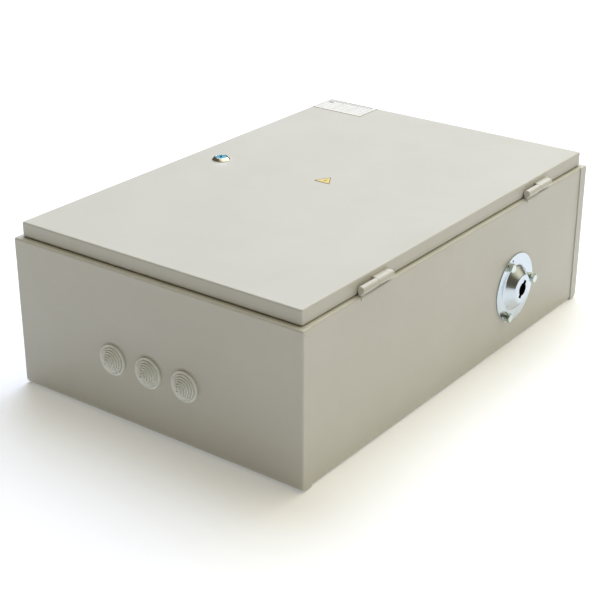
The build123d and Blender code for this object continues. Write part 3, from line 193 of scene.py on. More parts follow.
PAINT_LIGHT = linear(204, 203, 194)
PAINT_DARK = linear(200, 198, 188)
paint = finish(
    "powder_coat",
    PAINT_LIGHT,
    PAINT_DARK,
    mottle=9.0,
    roughness=(0.40, 0.50),
    grain=((260.0, 0.00004), (1500.0, 0.00001)),
    # painted highlight along the folds and edges of the powder coat
    edge=linear(222, 220, 210),
    edge_width=0.0012,
    speckle=(2600.0, 0.25, linear(186, 183, 171)),
)
materials = {
    "enclosure_paint": paint,
    "steel": finish(
        "ground_steel", linear(168, 169, 171), linear(146, 147, 150), 60, (0.22, 0.36),
        ((2200.0, 0.000004),), 1.0, (0.15, 1, 1), edge=linear(200, 200, 200),
    ),
    "grommet_rubber": finish(
        "grey_rubber", linear(232, 233, 228), linear(222, 223, 217), 70, (0.36, 0.48),
        ((900.0, 0.000008),),
    ),
    "gasket_foam": finish(
        "black_foam", linear(42, 42, 43), linear(26, 26, 27), 40, (0.8, 0.95),
        ((1400.0, 0.00018), (420.0, 0.0001)),
    ),
    "zinc_plate": finish(
        "zinc_plate", linear(206, 214, 220), linear(194, 204, 212), 28, (0.18, 0.25),
        ((500.0, 0.000003),), 1.0,
    ),
    "galvanised": spangled(
        finish("galvanised", linear(176, 179, 182), linear(160, 163, 167), 14, (0.3, 0.5),
               ((700.0, 0.00002),), 1.0, edge=linear(205, 205, 205)),
        130.0, linear(190, 193, 197), linear(148, 152, 157),
    ),
    "lock_chrome": finish(
        "chrome", linear(232, 230, 226), linear(222, 220, 216), 60, (0.05, 0.10), ((600.0, 0.000002),), 1.0,
    ),
    "lock_face": finish(
        "blue_lacquer", linear(128, 204, 230), linear(110, 190, 222), 90, (0.2, 0.3),
        ((1500.0, 0.000003),), 0.35,
    ),
    "sign_yellow": finish(
        "sign_vinyl", linear(243, 217, 140), linear(238, 210, 130), 120, (0.3, 0.42), ((2200.0, 0.000003),),
    ),
    "label_silver": finish(
        "label_film", linear(240, 239, 233), linear(232, 231, 225), 50, (0.4, 0.5),
        ((1800.0, 0.000003),), 0.0,
    ),
    "moulded_black": finish(
        "phenolic", linear(44, 43, 43), linear(30, 30, 31), 35, (0.38, 0.55),
        ((1100.0, 0.00004),), edge=linear(96, 94, 92), edge_width=0.0005,
    ),
    "chute_grey": finish(
        "chute_grey", linear(108, 110, 112), linear(94, 96, 99), 40, (0.45, 0.6),
        ((1200.0, 0.00004),), edge=linear(150, 150, 150), edge_width=0.0005,
    ),
    "barrier_red": finish(
        "barrier_board", linear(136, 58, 42), linear(112, 44, 32), 55, (0.45, 0.65),
        ((600.0, 0.00005), (2400.0, 0.00003)), stretch=(1, 0.2, 1), edge=linear(176, 104, 84),
    ),
    "copper": finish(
        "copper", linear(214, 140, 106), linear(176, 104, 74), 45, (0.22, 0.42),
        ((1500.0, 0.000015),), 1.0, (1, 0.25, 1), edge=linear(236, 178, 146),
    ),
    "brass_fittings": finish(
        "brass", linear(214, 182, 112), linear(186, 152, 84), 55, (0.22, 0.4),
        ((1600.0, 0.000015),), 1.0, edge=linear(238, 212, 150),
    ),
    "motor_black": finish(
        "motor_black", linear(52, 53, 56), linear(36, 37, 40), 30, (0.35, 0.5),
        ((900.0, 0.00004),), edge=linear(110, 110, 112), edge_width=0.0005,
    ),
    "device_grey": finish(
        "device_grey", linear(212, 212, 207), linear(202, 202, 196), 22, (0.42, 0.56),
        ((1500.0, 0.00004),), edge=linear(228, 228, 224), edge_width=0.0004,
    ),
    "controller_black": finish(
        "controller_grey", linear(74, 78, 82), linear(60, 64, 68), 26, (0.42, 0.56),
        ((1500.0, 0.00004),), edge=linear(118, 122, 126), edge_width=0.0004,
    ),
    "toggle_blue": finish(
        "toggle_blue", linear(44, 84, 142), linear(34, 70, 124), 60, (0.25, 0.38),
        ((1200.0, 0.00002),), edge=linear(90, 126, 176), edge_width=0.0004,
    ),
    "display_glass": finish(
        "display_glass", linear(60, 78, 70), linear(48, 66, 60), 30, (0.04, 0.09), ((300.0, 0.00001),),
        settings={"Transmission Weight": 0.55, "IOR": 1.49},
    ),
    "knob_black": finish(
        "knob_black", linear(38, 38, 40), linear(24, 24, 26), 60, (0.4, 0.55),
        ((1800.0, 0.00005),), edge=linear(90, 90, 92), edge_width=0.0004,
    ),
    "button_green": finish(
        "button_green", linear(46, 150, 76), linear(36, 130, 62), 80, (0.25, 0.4),
        ((1500.0, 0.00002),), edge=linear(110, 196, 132), edge_width=0.0004,
    ),
    "terminal_beige": finish(
        "polyamide", linear(196, 192, 178), linear(182, 178, 163), 45, (0.45, 0.6),
        ((1500.0, 0.00004),), edge=linear(214, 211, 200), edge_width=0.0004,
    ),
    "duct_grey": finish(
        "duct_pvc", linear(150, 155, 158), linear(138, 143, 147), 18, (0.4, 0.55),
        ((1100.0, 0.00003),), edge=linear(180, 184, 186), edge_width=0.0004,
    ),
    "wire_insulation": finish(
        "wire_pvc", linear(40, 41, 44), linear(28, 29, 32), 60, (0.3, 0.45), ((1300.0, 0.00002),),
    ),
}

node_slot = {row["node"]: row["material_slot"] for row in frame["record"]["subparts"]}
for name, node in nodes.items():
    node.data.materials.clear()
    node.data.materials.append(materials[node_slot[name]])


# ==== ways of making a piece =================================================================
def corner(node, *ends):
    """A corner of a node's box: for each axis 0 is the low end, 1 the high end, 0.5 the middle."""
    low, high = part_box(node)
    return Vector([low[i] + (high[i] - low[i]) * end for i, end in enumerate(ends)])


def turned(outward, sideways, origin):
    """A local frame whose Z points outward and whose X points sideways."""
    outward, sideways = Vector(outward), Vector(sideways)
    turn = Matrix((sideways, outward.cross(sideways), outward)).transposed().to_4x4()
    return Matrix.Translation(origin) @ turn


def add_piece(name, build, slot, body, replaces=(), place=None, sharp=32.0, bevel=0.0, look=None, cuts=()):
    """A new piece. build fills a bmesh in local millimetres and place puts it where it belongs."""
    mesh = bpy.data.meshes.new(name)
    shape = bmesh.new()
    build(shape)
    bmesh.ops.remove_doubles(shape, verts=shape.verts, dist=0.0005)
    bmesh.ops.recalc_face_normals(shape, faces=shape.faces)
    shape.transform((place or Matrix()) @ Matrix.Scale(MM, 4))
    shape.to_mesh(mesh)
    shape.free()
    piece = bpy.data.objects.new(name, mesh)
    scene.collection.objects.link(piece)
    for cut in cuts:
        carve(piece, cut, place)
    piece.data.shade_smooth()
    if bevel:
        rounding = piece.modifiers.new("rounding", "BEVEL")
        rounding.width = bevel * MM
        rounding.segments = 2
        rounding.limit_method = "ANGLE"
        rounding.angle_limit = math.radians(sharp)
        rounding.harden_normals = True
    else:
        piece.data.set_sharp_from_angle(angle=math.radians(sharp))
    piece.data.materials.clear()
    piece.data.materials.append(look or materials[slot])
    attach(piece, body)
    if replaces:
        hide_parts(*replaces)


def carve(piece, build, place):
    """Cuts a closed shape out of a piece, and keeps only the result."""
    mesh = bpy.data.meshes.new("cutter")
    shape = bmesh.new()
    build(shape)
    bmesh.ops.recalc_face_normals(shape, faces=shape.faces)
    shape.transform((place or Matrix()) @ Matrix.Scale(MM, 4))
    shape.to_mesh(mesh)
    shape.free()
    cutter = bpy.data.objects.new("cutter", mesh)
    scene.collection.objects.link(cutter)
    cut = piece.modifiers.new("cut", "BOOLEAN")
    cut.object = cutter
    cut.solver = "EXACT"
    bpy.context.view_layer.update()
    ready = piece.evaluated_get(bpy.context.evaluated_depsgraph_get())
    piece.data = bpy.data.meshes.new_from_object(ready)
    piece.modifiers.clear()
    bpy.data.objects.remove(cutter)


def rounded(outline, steps=5):
    """Rounds the corners of an open outline of (x, y, corner radius)."""
    points = []
    for index, (x, y, radius) in enumerate(outline):
        here = Vector((x, y))
        if not radius or index in (0, len(outline) - 1):
            points.append(here)
            continue
        before = Vector(outline[index - 1][:2]) - here
        after = Vector(outline[index + 1][:2]) - here
        half = before.angle(after) / 2
        reach = min(radius / math.tan(half), 0.48 * before.length, 0.48 * after.length)
        middle = (before.normalized() + after.normalized()).normalized() * (reach / math.cos(half))
        first = before.normalized() * reach - middle
        last = after.normalized() * reach - middle
        sweep = first.angle(last)
        for step in range(steps + 1):
            share = step / steps
            arm = first * math.sin((1 - share) * sweep) + last * math.sin(share * sweep)
            points.append(here + middle + arm / math.sin(sweep))
    return points


def lathe(shape, outline, at=(0, 0), steps=96, closed=True):
    """Turns an outline of (radius, height) points about the local Z axis."""
    angles = [2 * math.pi * step / steps for step in range(steps)]
    rings = []
    for radius, height in outline:
        if radius < 0.001:
            rings.append([shape.verts.new((at[0], at[1], height))])
        else:
            rings.append([
                shape.verts.new((at[0] + radius * math.cos(angle), at[1] + radius * math.sin(angle), height))
                for angle in angles
            ])
    pairs = list(zip(rings, rings[1:]))
    if closed and len(rings[0]) > 1 and len(rings[-1]) > 1:
        pairs.append((rings[-1], rings[0]))
    for lower, upper in pairs:
        for step in range(steps):
            around = []
            for ring, index in ((lower, step), (lower, step + 1), (upper, step + 1), (upper, step)):
                vert = ring[index % len(ring)]
                if vert not in around:
                    around.append(vert)
            shape.faces.new(around)


def prism(shape, outline, low, high, origin=(0, 0)):
    """A straight bar between two heights, from an outline of (x, y) points."""
    lower = [shape.verts.new((x + origin[0], y + origin[1], low)) for x, y in outline]
    upper = [shape.verts.new((x + origin[0], y + origin[1], high)) for x, y in outline]
    shape.faces.new(lower[::-1])
    shape.faces.new(upper)
    for index in range(len(outline)):
        after = (index + 1) % len(outline)
        shape.faces.new((lower[index], lower[after], upper[after], upper[index]))


def bar(shape, x, y, z):
    """A block between two limits on each axis."""
    prism(shape, [(x[0], y[0]), (x[1], y[0]), (x[1], y[1]), (x[0], y[1])], z[0], z[1])


def circle(radius, steps=48, at=(0, 0)):
    """A round outline."""
    angles = [2 * math.pi / steps * i for i in range(steps)]
    return [(at[0] + radius * math.cos(angle), at[1] + radius * math.sin(angle)) for angle in angles]


def swung(outline, angle):
    """An outline turned about its origin."""
    cosine, sine = math.cos(angle), math.sin(angle)
    return [(x * cosine - y * sine, x * sine + y * cosine) for x, y in outline]


def tube(shape, points, radius, sides=12):
    """A round bar along a smooth run of points, closed at both ends."""
    rings = []
    points = [Vector(point) for point in points]
    side = None
    for index, point in enumerate(points):
        ahead = points[min(index + 1, len(points) - 1)] - points[max(index - 1, 0)]
        ahead.normalize()
        if side is None:
            side = ahead.orthogonal()
        side = (side - ahead * side.dot(ahead)).normalized()
        up = ahead.cross(side)
        rings.append([
            shape.verts.new(point + (side * math.cos(a) + up * math.sin(a)) * radius)
            for a in [2 * math.pi * step / sides for step in range(sides)]
        ])
    for lower, upper in zip(rings, rings[1:]):
        for step in range(sides):
            after = (step + 1) % sides
            shape.faces.new((lower[step], lower[after], upper[after], upper[step]))
    shape.faces.new(rings[0][::-1])
    shape.faces.new(rings[-1])


def hex_head(shape, flats, low, high, at=(0, 0), turn=0.0, steps=72):
    """A hexagon with the chamfer that a bolt head has at its top."""
    top_r = flats / 2 * 0.96
    rings = [[], [], []]
    for step in range(steps):
        angle = 2 * math.pi * step / steps
        inside = (angle % (math.pi / 3)) - math.pi / 6
        radius = flats / 2 / math.cos(inside)
        x, y = math.cos(angle + turn), math.sin(angle + turn)
        drop = (radius - top_r) * 0.55
        for ring, r, z in ((rings[0], radius, low), (rings[1], radius, high - drop), (rings[2], top_r, high)):
            ring.append(shape.verts.new((at[0] + r * x, at[1] + r * y, z)))
    for lower, upper in zip(rings, rings[1:]):
        for step in range(steps):
            after = (step + 1) % steps
            shape.faces.new((lower[step], lower[after], upper[after], upper[step]))
    shape.faces.new(rings[0][::-1])
    shape.faces.new(rings[2])


def spring_washer(shape, inner, outer, low, thick, at=(0, 0), turn=0.0, steps=60):
    """A split washer: one flat turn that climbs a little and stops short of itself."""
    rings = []
    for step in range(steps + 1):
        angle = turn + math.radians(348) * step / steps
        lift = low + 0.25 * thick * step / steps
        top = lift + 0.8 * thick
        rings.append([
            shape.verts.new((at[0] + r * math.cos(angle), at[1] + r * math.sin(angle), z))
            for r, z in ((inner, lift), (outer, lift), (outer, top), (inner, top))
        ])
    for first, second in zip(rings, rings[1:]):
        for step in range(4):
            after = (step + 1) % 4
            shape.faces.new((first[step], first[after], second[after], second[step]))
    shape.faces.new(rings[0][::-1])
    shape.faces.new(rings[-1])


# ==== cable grommets =========================================================================
GROMMET_R = 18.2
GROMMET_RISE = 13.5
GROMMET_BEHIND = 4.0      # how far the lip reaches in behind the sheet
GROMMET_RINGS = 6


def grommet(shape):
    """A stepped rubber cone with a rounded rim, beaded rings and a nipple with a small hole."""
    ring_width = (GROMMET_R - 5.6) / GROMMET_RINGS
    ring_rise = (GROMMET_RISE - 3.4) / GROMMET_RINGS
    outline = [(0.9, 10.0, 0), (11.2, 1.2, 0.5), (12.0, -4.0, 0.3), (16.0, -3.4, 0.4), (16.0, -1.45, 0)]
    outline += [(13.9, -1.45, 0), (13.9, 0.02, 0), (GROMMET_R, 0.02, 0.4), (GROMMET_R, 2.6, 1.2)]
    outline += [(GROMMET_R - 2.4, 3.3, 1.0), (GROMMET_R - 3.0, 1.7, 0.35)]
    for ring in range(GROMMET_RINGS):
        outer = GROMMET_R - 3.5 - ring * ring_width
        foot = 1.8 + ring * ring_rise
        outline.append((outer, foot, 0.2))
        outline.append((outer - 0.1, foot + ring_rise + 1.05, 0.8))
        outline.append((outer - ring_width + 0.55, foot + ring_rise + 1.05, 0.5))
        outline.append((outer - ring_width + 0.15, foot + ring_rise, 0.2))
    outline += [(2.4, GROMMET_RISE - 1.6, 0.3), (2.4, GROMMET_RISE, 0.7), (0.9, GROMMET_RISE, 0.3)]
    lathe(shape, rounded(outline, 4) + [Vector((0.9, 10.0))], closed=False)


for name in ("grommet_left", "grommet_middle", "grommet_right"):
    face = corner(name, 0.5, 1, 0.5) - Vector((0, GROMMET_BEHIND * MM, 0))
    add_piece(
        name + "_moulding", grommet, "grommet_rubber", "enclosure", [name],
        turned((0, -1, 0), (1, 0, 0), face), sharp=50,
    )


# ==== manual operating entry =================================================================
FLANGE_SHEET = 1.5
DOME_RISE = 11.5
DOME_TOP_R = 17.3
DOME_BASE_R = 28.0
OPERATOR_R = 43.0
BOLT_CIRCLE_R = 37.5
KEYHOLE_TILT = math.radians(-34)
BOLT_HOLE_R = 3.3
RACK_HOLE_R = 1.5         # the small hole that the disc hung from while it was plated
RACK_HOLE_AT = (-9.2, 36.9)
flange_middle = corner("operator_flange", 0, 0.5, 0.5)
on_side_wall = turned((1, 0, 0), (0, 1, 0), flange_middle)
bolt_angles = [math.radians(120 * i) for i in range(3)]
bolt_spots = [(BOLT_CIRCLE_R * math.cos(angle), BOLT_CIRCLE_R * math.sin(angle)) for angle in bolt_angles]


def flange_disc(shape):
    """The plated disc, one thin sheet with a dome in its middle."""
    top, sheet = DOME_RISE, FLANGE_SHEET
    over = [(0, top, 0), (DOME_TOP_R + 0.4, top, 2.4)]
    over += [(DOME_BASE_R + 0.5, sheet, 5.0), (OPERATOR_R, sheet, 0.35)]
    under = [(OPERATOR_R, 0, 0.2), (DOME_BASE_R, 0, 6.0)]
    under += [(DOME_TOP_R - 0.6, top - sheet, 1.2), (0, top - sheet, 0)]
    lathe(shape, rounded(over + under, 8), steps=144)


def keyhole(shape):
    """A round hole with a notch on both sides, for the double bit of the handle."""
    radius, half_long, half_wide = 8.2, 11.5, 3.2
    start = math.asin(half_wide / radius)
    outline = []
    for side in (1, -1):
        for step in range(25):
            angle = start + (math.pi - 2 * start) * step / 24
            outline.append((side * radius * math.sin(angle), side * radius * math.cos(angle)))
        outline.append((side * half_wide, -side * half_long))
        outline.append((-side * half_wide, -side * half_long))
    prism(shape, swung(outline, KEYHOLE_TILT), 5, 15)


def flange_holes(shape):
    """The bolt holes and the rack hole."""
    for spot in bolt_spots:
        prism(shape, circle(BOLT_HOLE_R, at=spot), -1, 4)
    prism(shape, circle(RACK_HOLE_R, 24, RACK_HOLE_AT), -1, 4)


add_piece(
    "operator_disc", flange_disc, "zinc_plate", "enclosure", ["operator_flange"], on_side_wall,
    cuts=[keyhole, flange_holes], sharp=28,
)


def bolts(shape):
    """Hex heads on their shanks, each turned its own way."""
    for index, spot in enumerate(bolt_spots):
        seat = FLANGE_SHEET + 2.9
        hex_head(shape, 10, seat, FLANGE_SHEET + 6.9, spot, 0.35 + 0.9 * index)
        lathe(shape, [(0, -11), (2.6, -11), (3, -10.6), (3, seat), (0, seat)], spot, 36)


def washers(shape):
    """A flat washer and a split one under each head."""
    for index, spot in enumerate(bolt_spots):
        top = FLANGE_SHEET + 1.2
        flat = [(3.2, FLANGE_SHEET, 0), (6.2, FLANGE_SHEET, 0), (6.2, top, 0.3), (3.2, top, 0)]
        lathe(shape, rounded(flat, 3), spot, 48)
        spring_washer(shape, 3.2, 5.1, FLANGE_SHEET + 1.25, 1.5, spot, 2.2 + 1.7 * index)


bolt_zinc = finish(
    "bolt_zinc", linear(212, 222, 216), linear(196, 206, 202), 90, (0.2, 0.3), ((900.0, 0.000003),), 1.0,
)
add_piece(
    "operator_bolt_heads", bolts, "steel", "enclosure", ["operator_bolts"], on_side_wall, sharp=24,
    look=bolt_zinc,
)
add_piece(
    "operator_bolt_washers", washers, "steel", "enclosure", ["operator_washers"], on_side_wall, sharp=24,
    look=bolt_zinc,
)


# ==== lock ===================================================================================
LOCK_RISE = 4.0
LOCK_BEZEL_R = 11.3
LOCK_CORE_R = 7.0
KEY_SLOT_TURN = math.radians(-52)
KEY_SLOT_END_R = 1.1
KEY_SLOT_STRETCH = 3.2    # from the slot's middle to the middle of a round end
lock_middle = corner("lock_housing", 0.5, 0.5, 1) - Vector((0, 0, LOCK_RISE * MM))
LOCK_FOOT = (corner("lock_housing", 0, 0, 0).z - lock_middle.z) / MM
on_door_lock = turned((0, 0, 1), (1, 0, 0), lock_middle)


def lock_ring(shape):
    """The bezel and the barrel behind it, with a bore for the plug."""
    bore = LOCK_CORE_R + 0.05
    outline = [(bore, LOCK_FOOT, 0), (9.5, LOCK_FOOT, 0.3), (9.5, 0, 0), (LOCK_BEZEL_R, 0, 0)]
    outline += [(LOCK_BEZEL_R, 0.9, 0.3), (LOCK_CORE_R + 1.3, LOCK_RISE - 0.1, 0.3)]
    outline += [(LOCK_CORE_R + 0.4, LOCK_RISE - 0.1, 0.2), (bore, LOCK_RISE - 0.4, 0)]
    lathe(shape, rounded(outline, 4), steps=96)


def lock_face(shape):
    """The plug, with its thinner shank behind the door."""
    foot = (corner("lock_core", 0, 0, 0).z - lock_middle.z) / MM
    top = LOCK_RISE - 0.15
    outline = [(0, foot, 0), (3.9, foot, 0), (3.9, LOCK_FOOT, 0), (LOCK_CORE_R, LOCK_FOOT, 0)]
    lathe(shape, rounded(outline + [(LOCK_CORE_R, top, 0.3), (0, top + 0.15, 0)], 4), steps=72)


def key_slot(shape):
    """A slot with two round ends."""
    ends = circle(KEY_SLOT_END_R, 20)
    outline = [(x + KEY_SLOT_STRETCH * (1 if x > 0 else -1), y) for x, y in ends]
    prism(shape, swung(outline, KEY_SLOT_TURN), -6, 6)


add_piece("lock_bezel", lock_ring, "lock_chrome", "door", ["lock_housing"], on_door_lock, sharp=30)
add_piece("lock_plug", lock_face, "lock_face", "lock", ["lock_core"], on_door_lock, cuts=[key_slot], sharp=30)


# ==== sign and rating plate ==================================================================
STICKER = 0.4
sign_low, sign_high = corner("warning_sign", 0, 0, 1), corner("warning_sign", 1, 1, 1)
SIGN_SIDE = (sign_high.x - sign_low.x) / MM
sign_rise = SIGN_SIDE * MM / (2 * math.sqrt(3))    # the foot of an even triangle to its middle
sign_middle = Vector(((sign_low.x + sign_high.x) / 2, sign_low.y + sign_rise, sign_low.z))
on_sign = turned((0, 0, 1), (1, 0, 0), sign_middle)


def triangle(reach, radius=0.8):
    """A triangle with one corner up and rounded corners, reach from its centre to a sharp corner."""
    angles = [math.radians(90 + 120 * i) for i in range(3)]
    corners = [(reach * math.cos(angle), reach * math.sin(angle)) for angle in angles]
    outline = []
    for index in range(3):
        before, here, after = corners[index - 1], corners[index], corners[(index + 1) % 3]
        outline += [tuple(point) for point in rounded([(*before, 0), (*here, radius), (*after, 0)], 4)[1:-1]]
    return outline


def ring_between(shape, outer, inner, low, high):
    """A flat frame between two outlines with the same number of points."""
    rings = [[shape.verts.new((x, y, z)) for x, y in outline] for outline, z in
             ((outer, low), (outer, high), (inner, high), (inner, low))]
    for first, second in zip(rings, rings[1:] + rings[:1]):
        for index in range(len(outer)):
            after = (index + 1) % len(outer)
            shape.faces.new((first[index], first[after], second[after], second[index]))


SIGN_R = SIGN_SIDE / math.sqrt(3) + 0.5
add_piece(
    "sign_field", lambda shape: prism(shape, triangle(SIGN_R), -STICKER, 0), "sign_yellow", "door",
    ["warning_sign"], on_sign, bevel=0.06,
)
print_grey = finish(
    "print_grey", linear(124, 120, 110), linear(108, 106, 100), 300, (0.3, 0.45), ((2200.0, 0.00001),),
)
PRINT = (-0.02, 0.06)     # how far the printed parts reach into the sticker and above it
add_piece(
    "sign_border",
    lambda shape: ring_between(shape, triangle(SIGN_R - 0.1), triangle(SIGN_R - 2.0, 0.4), *PRINT),
    "sign_yellow", "door", (), on_sign, look=print_grey,
)
FLASH = [(1.6, 5.0), (-1.5, 0.2), (0.3, 0.5), (-1.3, -4.0), (2.4, 1.3), (0.6, 1.1)]
add_piece(
    "sign_flash", lambda shape: prism(shape, FLASH, *PRINT),
    "sign_yellow", "door", (), on_sign, look=print_grey,
)

plate_low, plate_high = corner("rating_plate", 0, 0, 1), corner("rating_plate", 1, 1, 1)
PLATE_WIDE = (plate_high.x - plate_low.x) / MM
PLATE_TALL = (plate_high.y - plate_low.y) / MM
PLATE_TUCK = 0.4          # the sheet ends inside its raised edge
EDGE_WIDE = 0.9
RULE = (-0.02, 0.05)      # how far the ruled lines reach into the sheet and above it
UPRIGHT = (-0.02, 0.052)  # a little higher, so that no two faces coincide where lines cross
on_plate = turned((0, 0, 1), (1, 0, 0), plate_low)


def plate_sheet(shape):
    """The plate's blank sheet."""
    right, far = PLATE_WIDE - PLATE_TUCK, PLATE_TALL - PLATE_TUCK
    bar(shape, (PLATE_TUCK, right), (PLATE_TUCK, far), (-STICKER, 0))


def plate_rules(shape):
    """Ruled fields, with nothing written in them."""
    left, right = 3.0, PLATE_WIDE - 3.0
    rows = [PLATE_TALL - 9.0 - 5.6 * row for row in range(6)]
    for y in rows:
        bar(shape, (left, right), (y - 0.25, y + 0.25), RULE)
    for x in (left, left + 0.36 * (right - left), left + 0.68 * (right - left), right):
        bar(shape, (x - 0.15, x + 0.15), (rows[-1], rows[0]), UPRIGHT)
    for low, wide in ((PLATE_TALL - 3.4, 1.6), (PLATE_TALL - 6.6, 1.2)):
        for start in range(int(left), int(right) - 4, 5):
            bar(shape, (start, start + 3.6), (low, low + wide), RULE)
    bar(shape, (left + 2, left + 10), (rows[0] - 4.2, rows[0] - 1.4), RULE)


def plate_edge(shape):
    """The raised edge that frames the sheet."""
    outer = [(0, 0), (PLATE_WIDE, 0), (PLATE_WIDE, PLATE_TALL), (0, PLATE_TALL)]
    right, far = PLATE_WIDE - EDGE_WIDE, PLATE_TALL - EDGE_WIDE
    inner = [(min(max(x, EDGE_WIDE), right), min(max(y, EDGE_WIDE), far)) for x, y in outer]
    ring_between(shape, outer, inner, -STICKER, 0.04)


# A tan colour on the raised frame: painted shadow along the plate's edge.
edge_painted_shadow = finish(
    "plate_edge", linear(186, 176, 150), linear(172, 162, 138), 200, (0.4, 0.5), ((2000.0, 0.00001),),
)
add_piece("rating_edge", plate_edge, "label_silver", "door", (), on_plate, look=edge_painted_shadow)
add_piece("rating_sheet", plate_sheet, "label_silver", "door", ["rating_plate"], on_plate, bevel=0.08)
add_piece("rating_rules", plate_rules, "label_silver", "door", (), on_plate, look=print_grey)


# ==== hinge welds ============================================================================
def weld(shape):
    """A run of weld where each door leaf meets the door's edge."""
    low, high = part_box("hinge_door_knuckles")
    door_side, top = low[0] / MM + 0.1, high[2] / MM
    length, ripples = 27.7, 56
    for start in (low[1] / MM, high[1] / MM - length):
        for z, wide in ((top - 0.1, 0.55), (top - 4.4, 0.45)):
            run = []
            for step in range(ripples + 1):
                x = door_side + 0.12 * math.sin(5.1 * step)
                y = start + length * step / ripples
                run.append((x, y, z + 0.10 * math.sin(2.3 * step)))
            tube(shape, run, wide, 10)


add_piece("hinge_welds", weld, "enclosure_paint", "door", sharp=60)


# ==== inside: screws, dials and marks ========================================================
def slotted(shape, x, y, z, radius, turn):
    """A screw head with a slot, built as two halves on a low disc."""
    lathe(shape, [(0, z - 0.6), (radius, z - 0.6), (radius, z), (0, z)], (x, y), 20)
    start, reach = math.asin(0.16), radius * 0.94
    angles = [start + (math.pi - 2 * start) * i / 10 for i in range(11)]
    for side in (-1, 1):
        half = [(side * reach * math.cos(angle), side * reach * math.sin(angle)) for angle in angles]
        prism(shape, swung(half, turn), z, z + 0.8, (x, y))


BREAKER_FACE, RELAY_FACE, CONTROLLER_FACE = 84.0, 92.0, 88.0    # heights of the devices' fronts
BREAKER_WELL, RELAY_WELL, CONTROLLER_WELL, TERMINAL_WELL = 58.6, 62.6, 56.6, 52.6    # screw seats
TERMINAL_FIELD = (63.9, 64.6)
RELAY_PITCH, TERMINAL_PITCH, TERMINALS = 38, 8, 12
RAIL_ONE_Y = corner("breaker_one_housing", 0, 0.5, 0).y / MM
RAIL_TWO_Y = corner("terminal_blocks", 0, 0.5, 0).y / MM
breaker_lefts = [corner(name, 0, 0, 0).x / MM for name in ("breaker_one_housing", "breaker_two_housing")]
relay_left = corner("phase_relays", 0, 0, 0).x / MM
relay_lefts = [relay_left, relay_left + RELAY_PITCH]
controller_left = corner("controller_housing", 0, 0, 0).x / MM
terminal_left = corner("terminal_blocks", 0, 0, 0).x / MM


def field(face):
    """The heights of a marking field that lies on a device's front."""
    return face - 0.1, face + 0.15


def well_screws(shape):
    """Clamp screws at the foot of every well on the rail devices."""
    count = 0
    rows = [(left + x, 34, BREAKER_WELL, 3.0) for left in breaker_lefts for x in (9, 27)]
    rows += [(left + x, 38, RELAY_WELL, 2.6) for left in relay_lefts for x in (7, 18, 29)]
    rows += [(controller_left + 10 + 11 * i, 39, CONTROLLER_WELL, 2.6) for i in range(9)]
    for x, reach, z, radius in rows:
        for side in (-1, 1):
            slotted(shape, x, RAIL_ONE_Y + side * reach, z, radius, 0.7 * count)
            count += 1
    for i in range(TERMINALS):
        x = terminal_left + 3.95 + TERMINAL_PITCH * i
        for side in (-1, 1):
            slotted(shape, x, RAIL_TWO_Y + side * 12.5, TERMINAL_WELL, 2.4, 0.7 * count)
            count += 1


def relay_dials(shape):
    """Two setting dials on each relay."""
    outline = [(0, 90.4, 0), (5.3, 90.4, 0), (5.3, 92.6, 0.4), (3.4, 92.9, 0.2), (3.2, 93.8, 0.2)]
    dial = rounded(outline + [(0, 93.8, 0)], 3)
    for left in relay_lefts:
        for index, y in enumerate((-16, 0)):
            spot = (left + 18, RAIL_ONE_Y + y)
            lathe(shape, dial, spot, 40)
            slotted(shape, *spot, 94.0, 2.6, 0.5 + 1.3 * index)


def face_fields(shape):
    """Blank marking fields on the breakers, relays, controller and terminals."""
    for left in breaker_lefts:
        for low, high in ((15, 21), (-21, -15)):
            bar(shape, (left + 2, left + 34), (RAIL_ONE_Y + low, RAIL_ONE_Y + high), field(BREAKER_FACE))
    for left in relay_lefts:
        bar(shape, (left + 3, left + 33), (RAIL_ONE_Y + 11, RAIL_ONE_Y + 27), field(RELAY_FACE))
    across = (controller_left + 68, controller_left + 104)
    bar(shape, across, (RAIL_ONE_Y + 16, RAIL_ONE_Y + 27), field(CONTROLLER_FACE))
    for i in range(TERMINALS):
        x = terminal_left + TERMINAL_PITCH * i
        bar(shape, (x + 1, x + 6.9), (RAIL_TWO_Y - 4.6, RAIL_TWO_Y + 4.6), TERMINAL_FIELD)


def lamps(shape):
    """Signal lamps on the controller and the relays."""
    spots = [(controller_left + 70 + 9 * i, RAIL_ONE_Y + 10, CONTROLLER_FACE) for i in range(4)]
    spots += [(left + 8 + 10 * i, RAIL_ONE_Y - 25.5, RELAY_FACE) for left in relay_lefts for i in range(3)]
    for x, y, z in spots:
        lens = [(0, z - 0.3, 0), (1.7, z - 0.3, 0), (1.7, z + 0.9, 0.8), (0, z + 1.3, 0)]
        lathe(shape, rounded(lens, 5), (x, y), 24)


def display_bars(shape):
    """Level bars on the face of the window, with no figures."""
    low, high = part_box("controller_window")
    left, foot, top = low[0] / MM + 5, low[1] / MM + 4, high[2] / MM
    for i in range(8):
        x, tall = left + 5.4 * i, 6 + 9 * abs(math.sin(0.9 * i + 0.6))
        bar(shape, (x, x + 3.6), (foot, foot + tall), (top - 0.05, top + 0.12))


def selector_marks(shape):
    """Position ticks round the selector."""
    middle = corner("selector_knob", 0.5, 0.5, 0)
    for degrees in (-60, 0, 60):
        outline = [(12.2, -0.5), (14.6, -0.5), (14.6, 0.5), (12.2, 0.5)]
        spot = (middle.x / MM, middle.y / MM)
        prism(shape, swung(outline, math.radians(90 + degrees)), *field(CONTROLLER_FACE), spot)


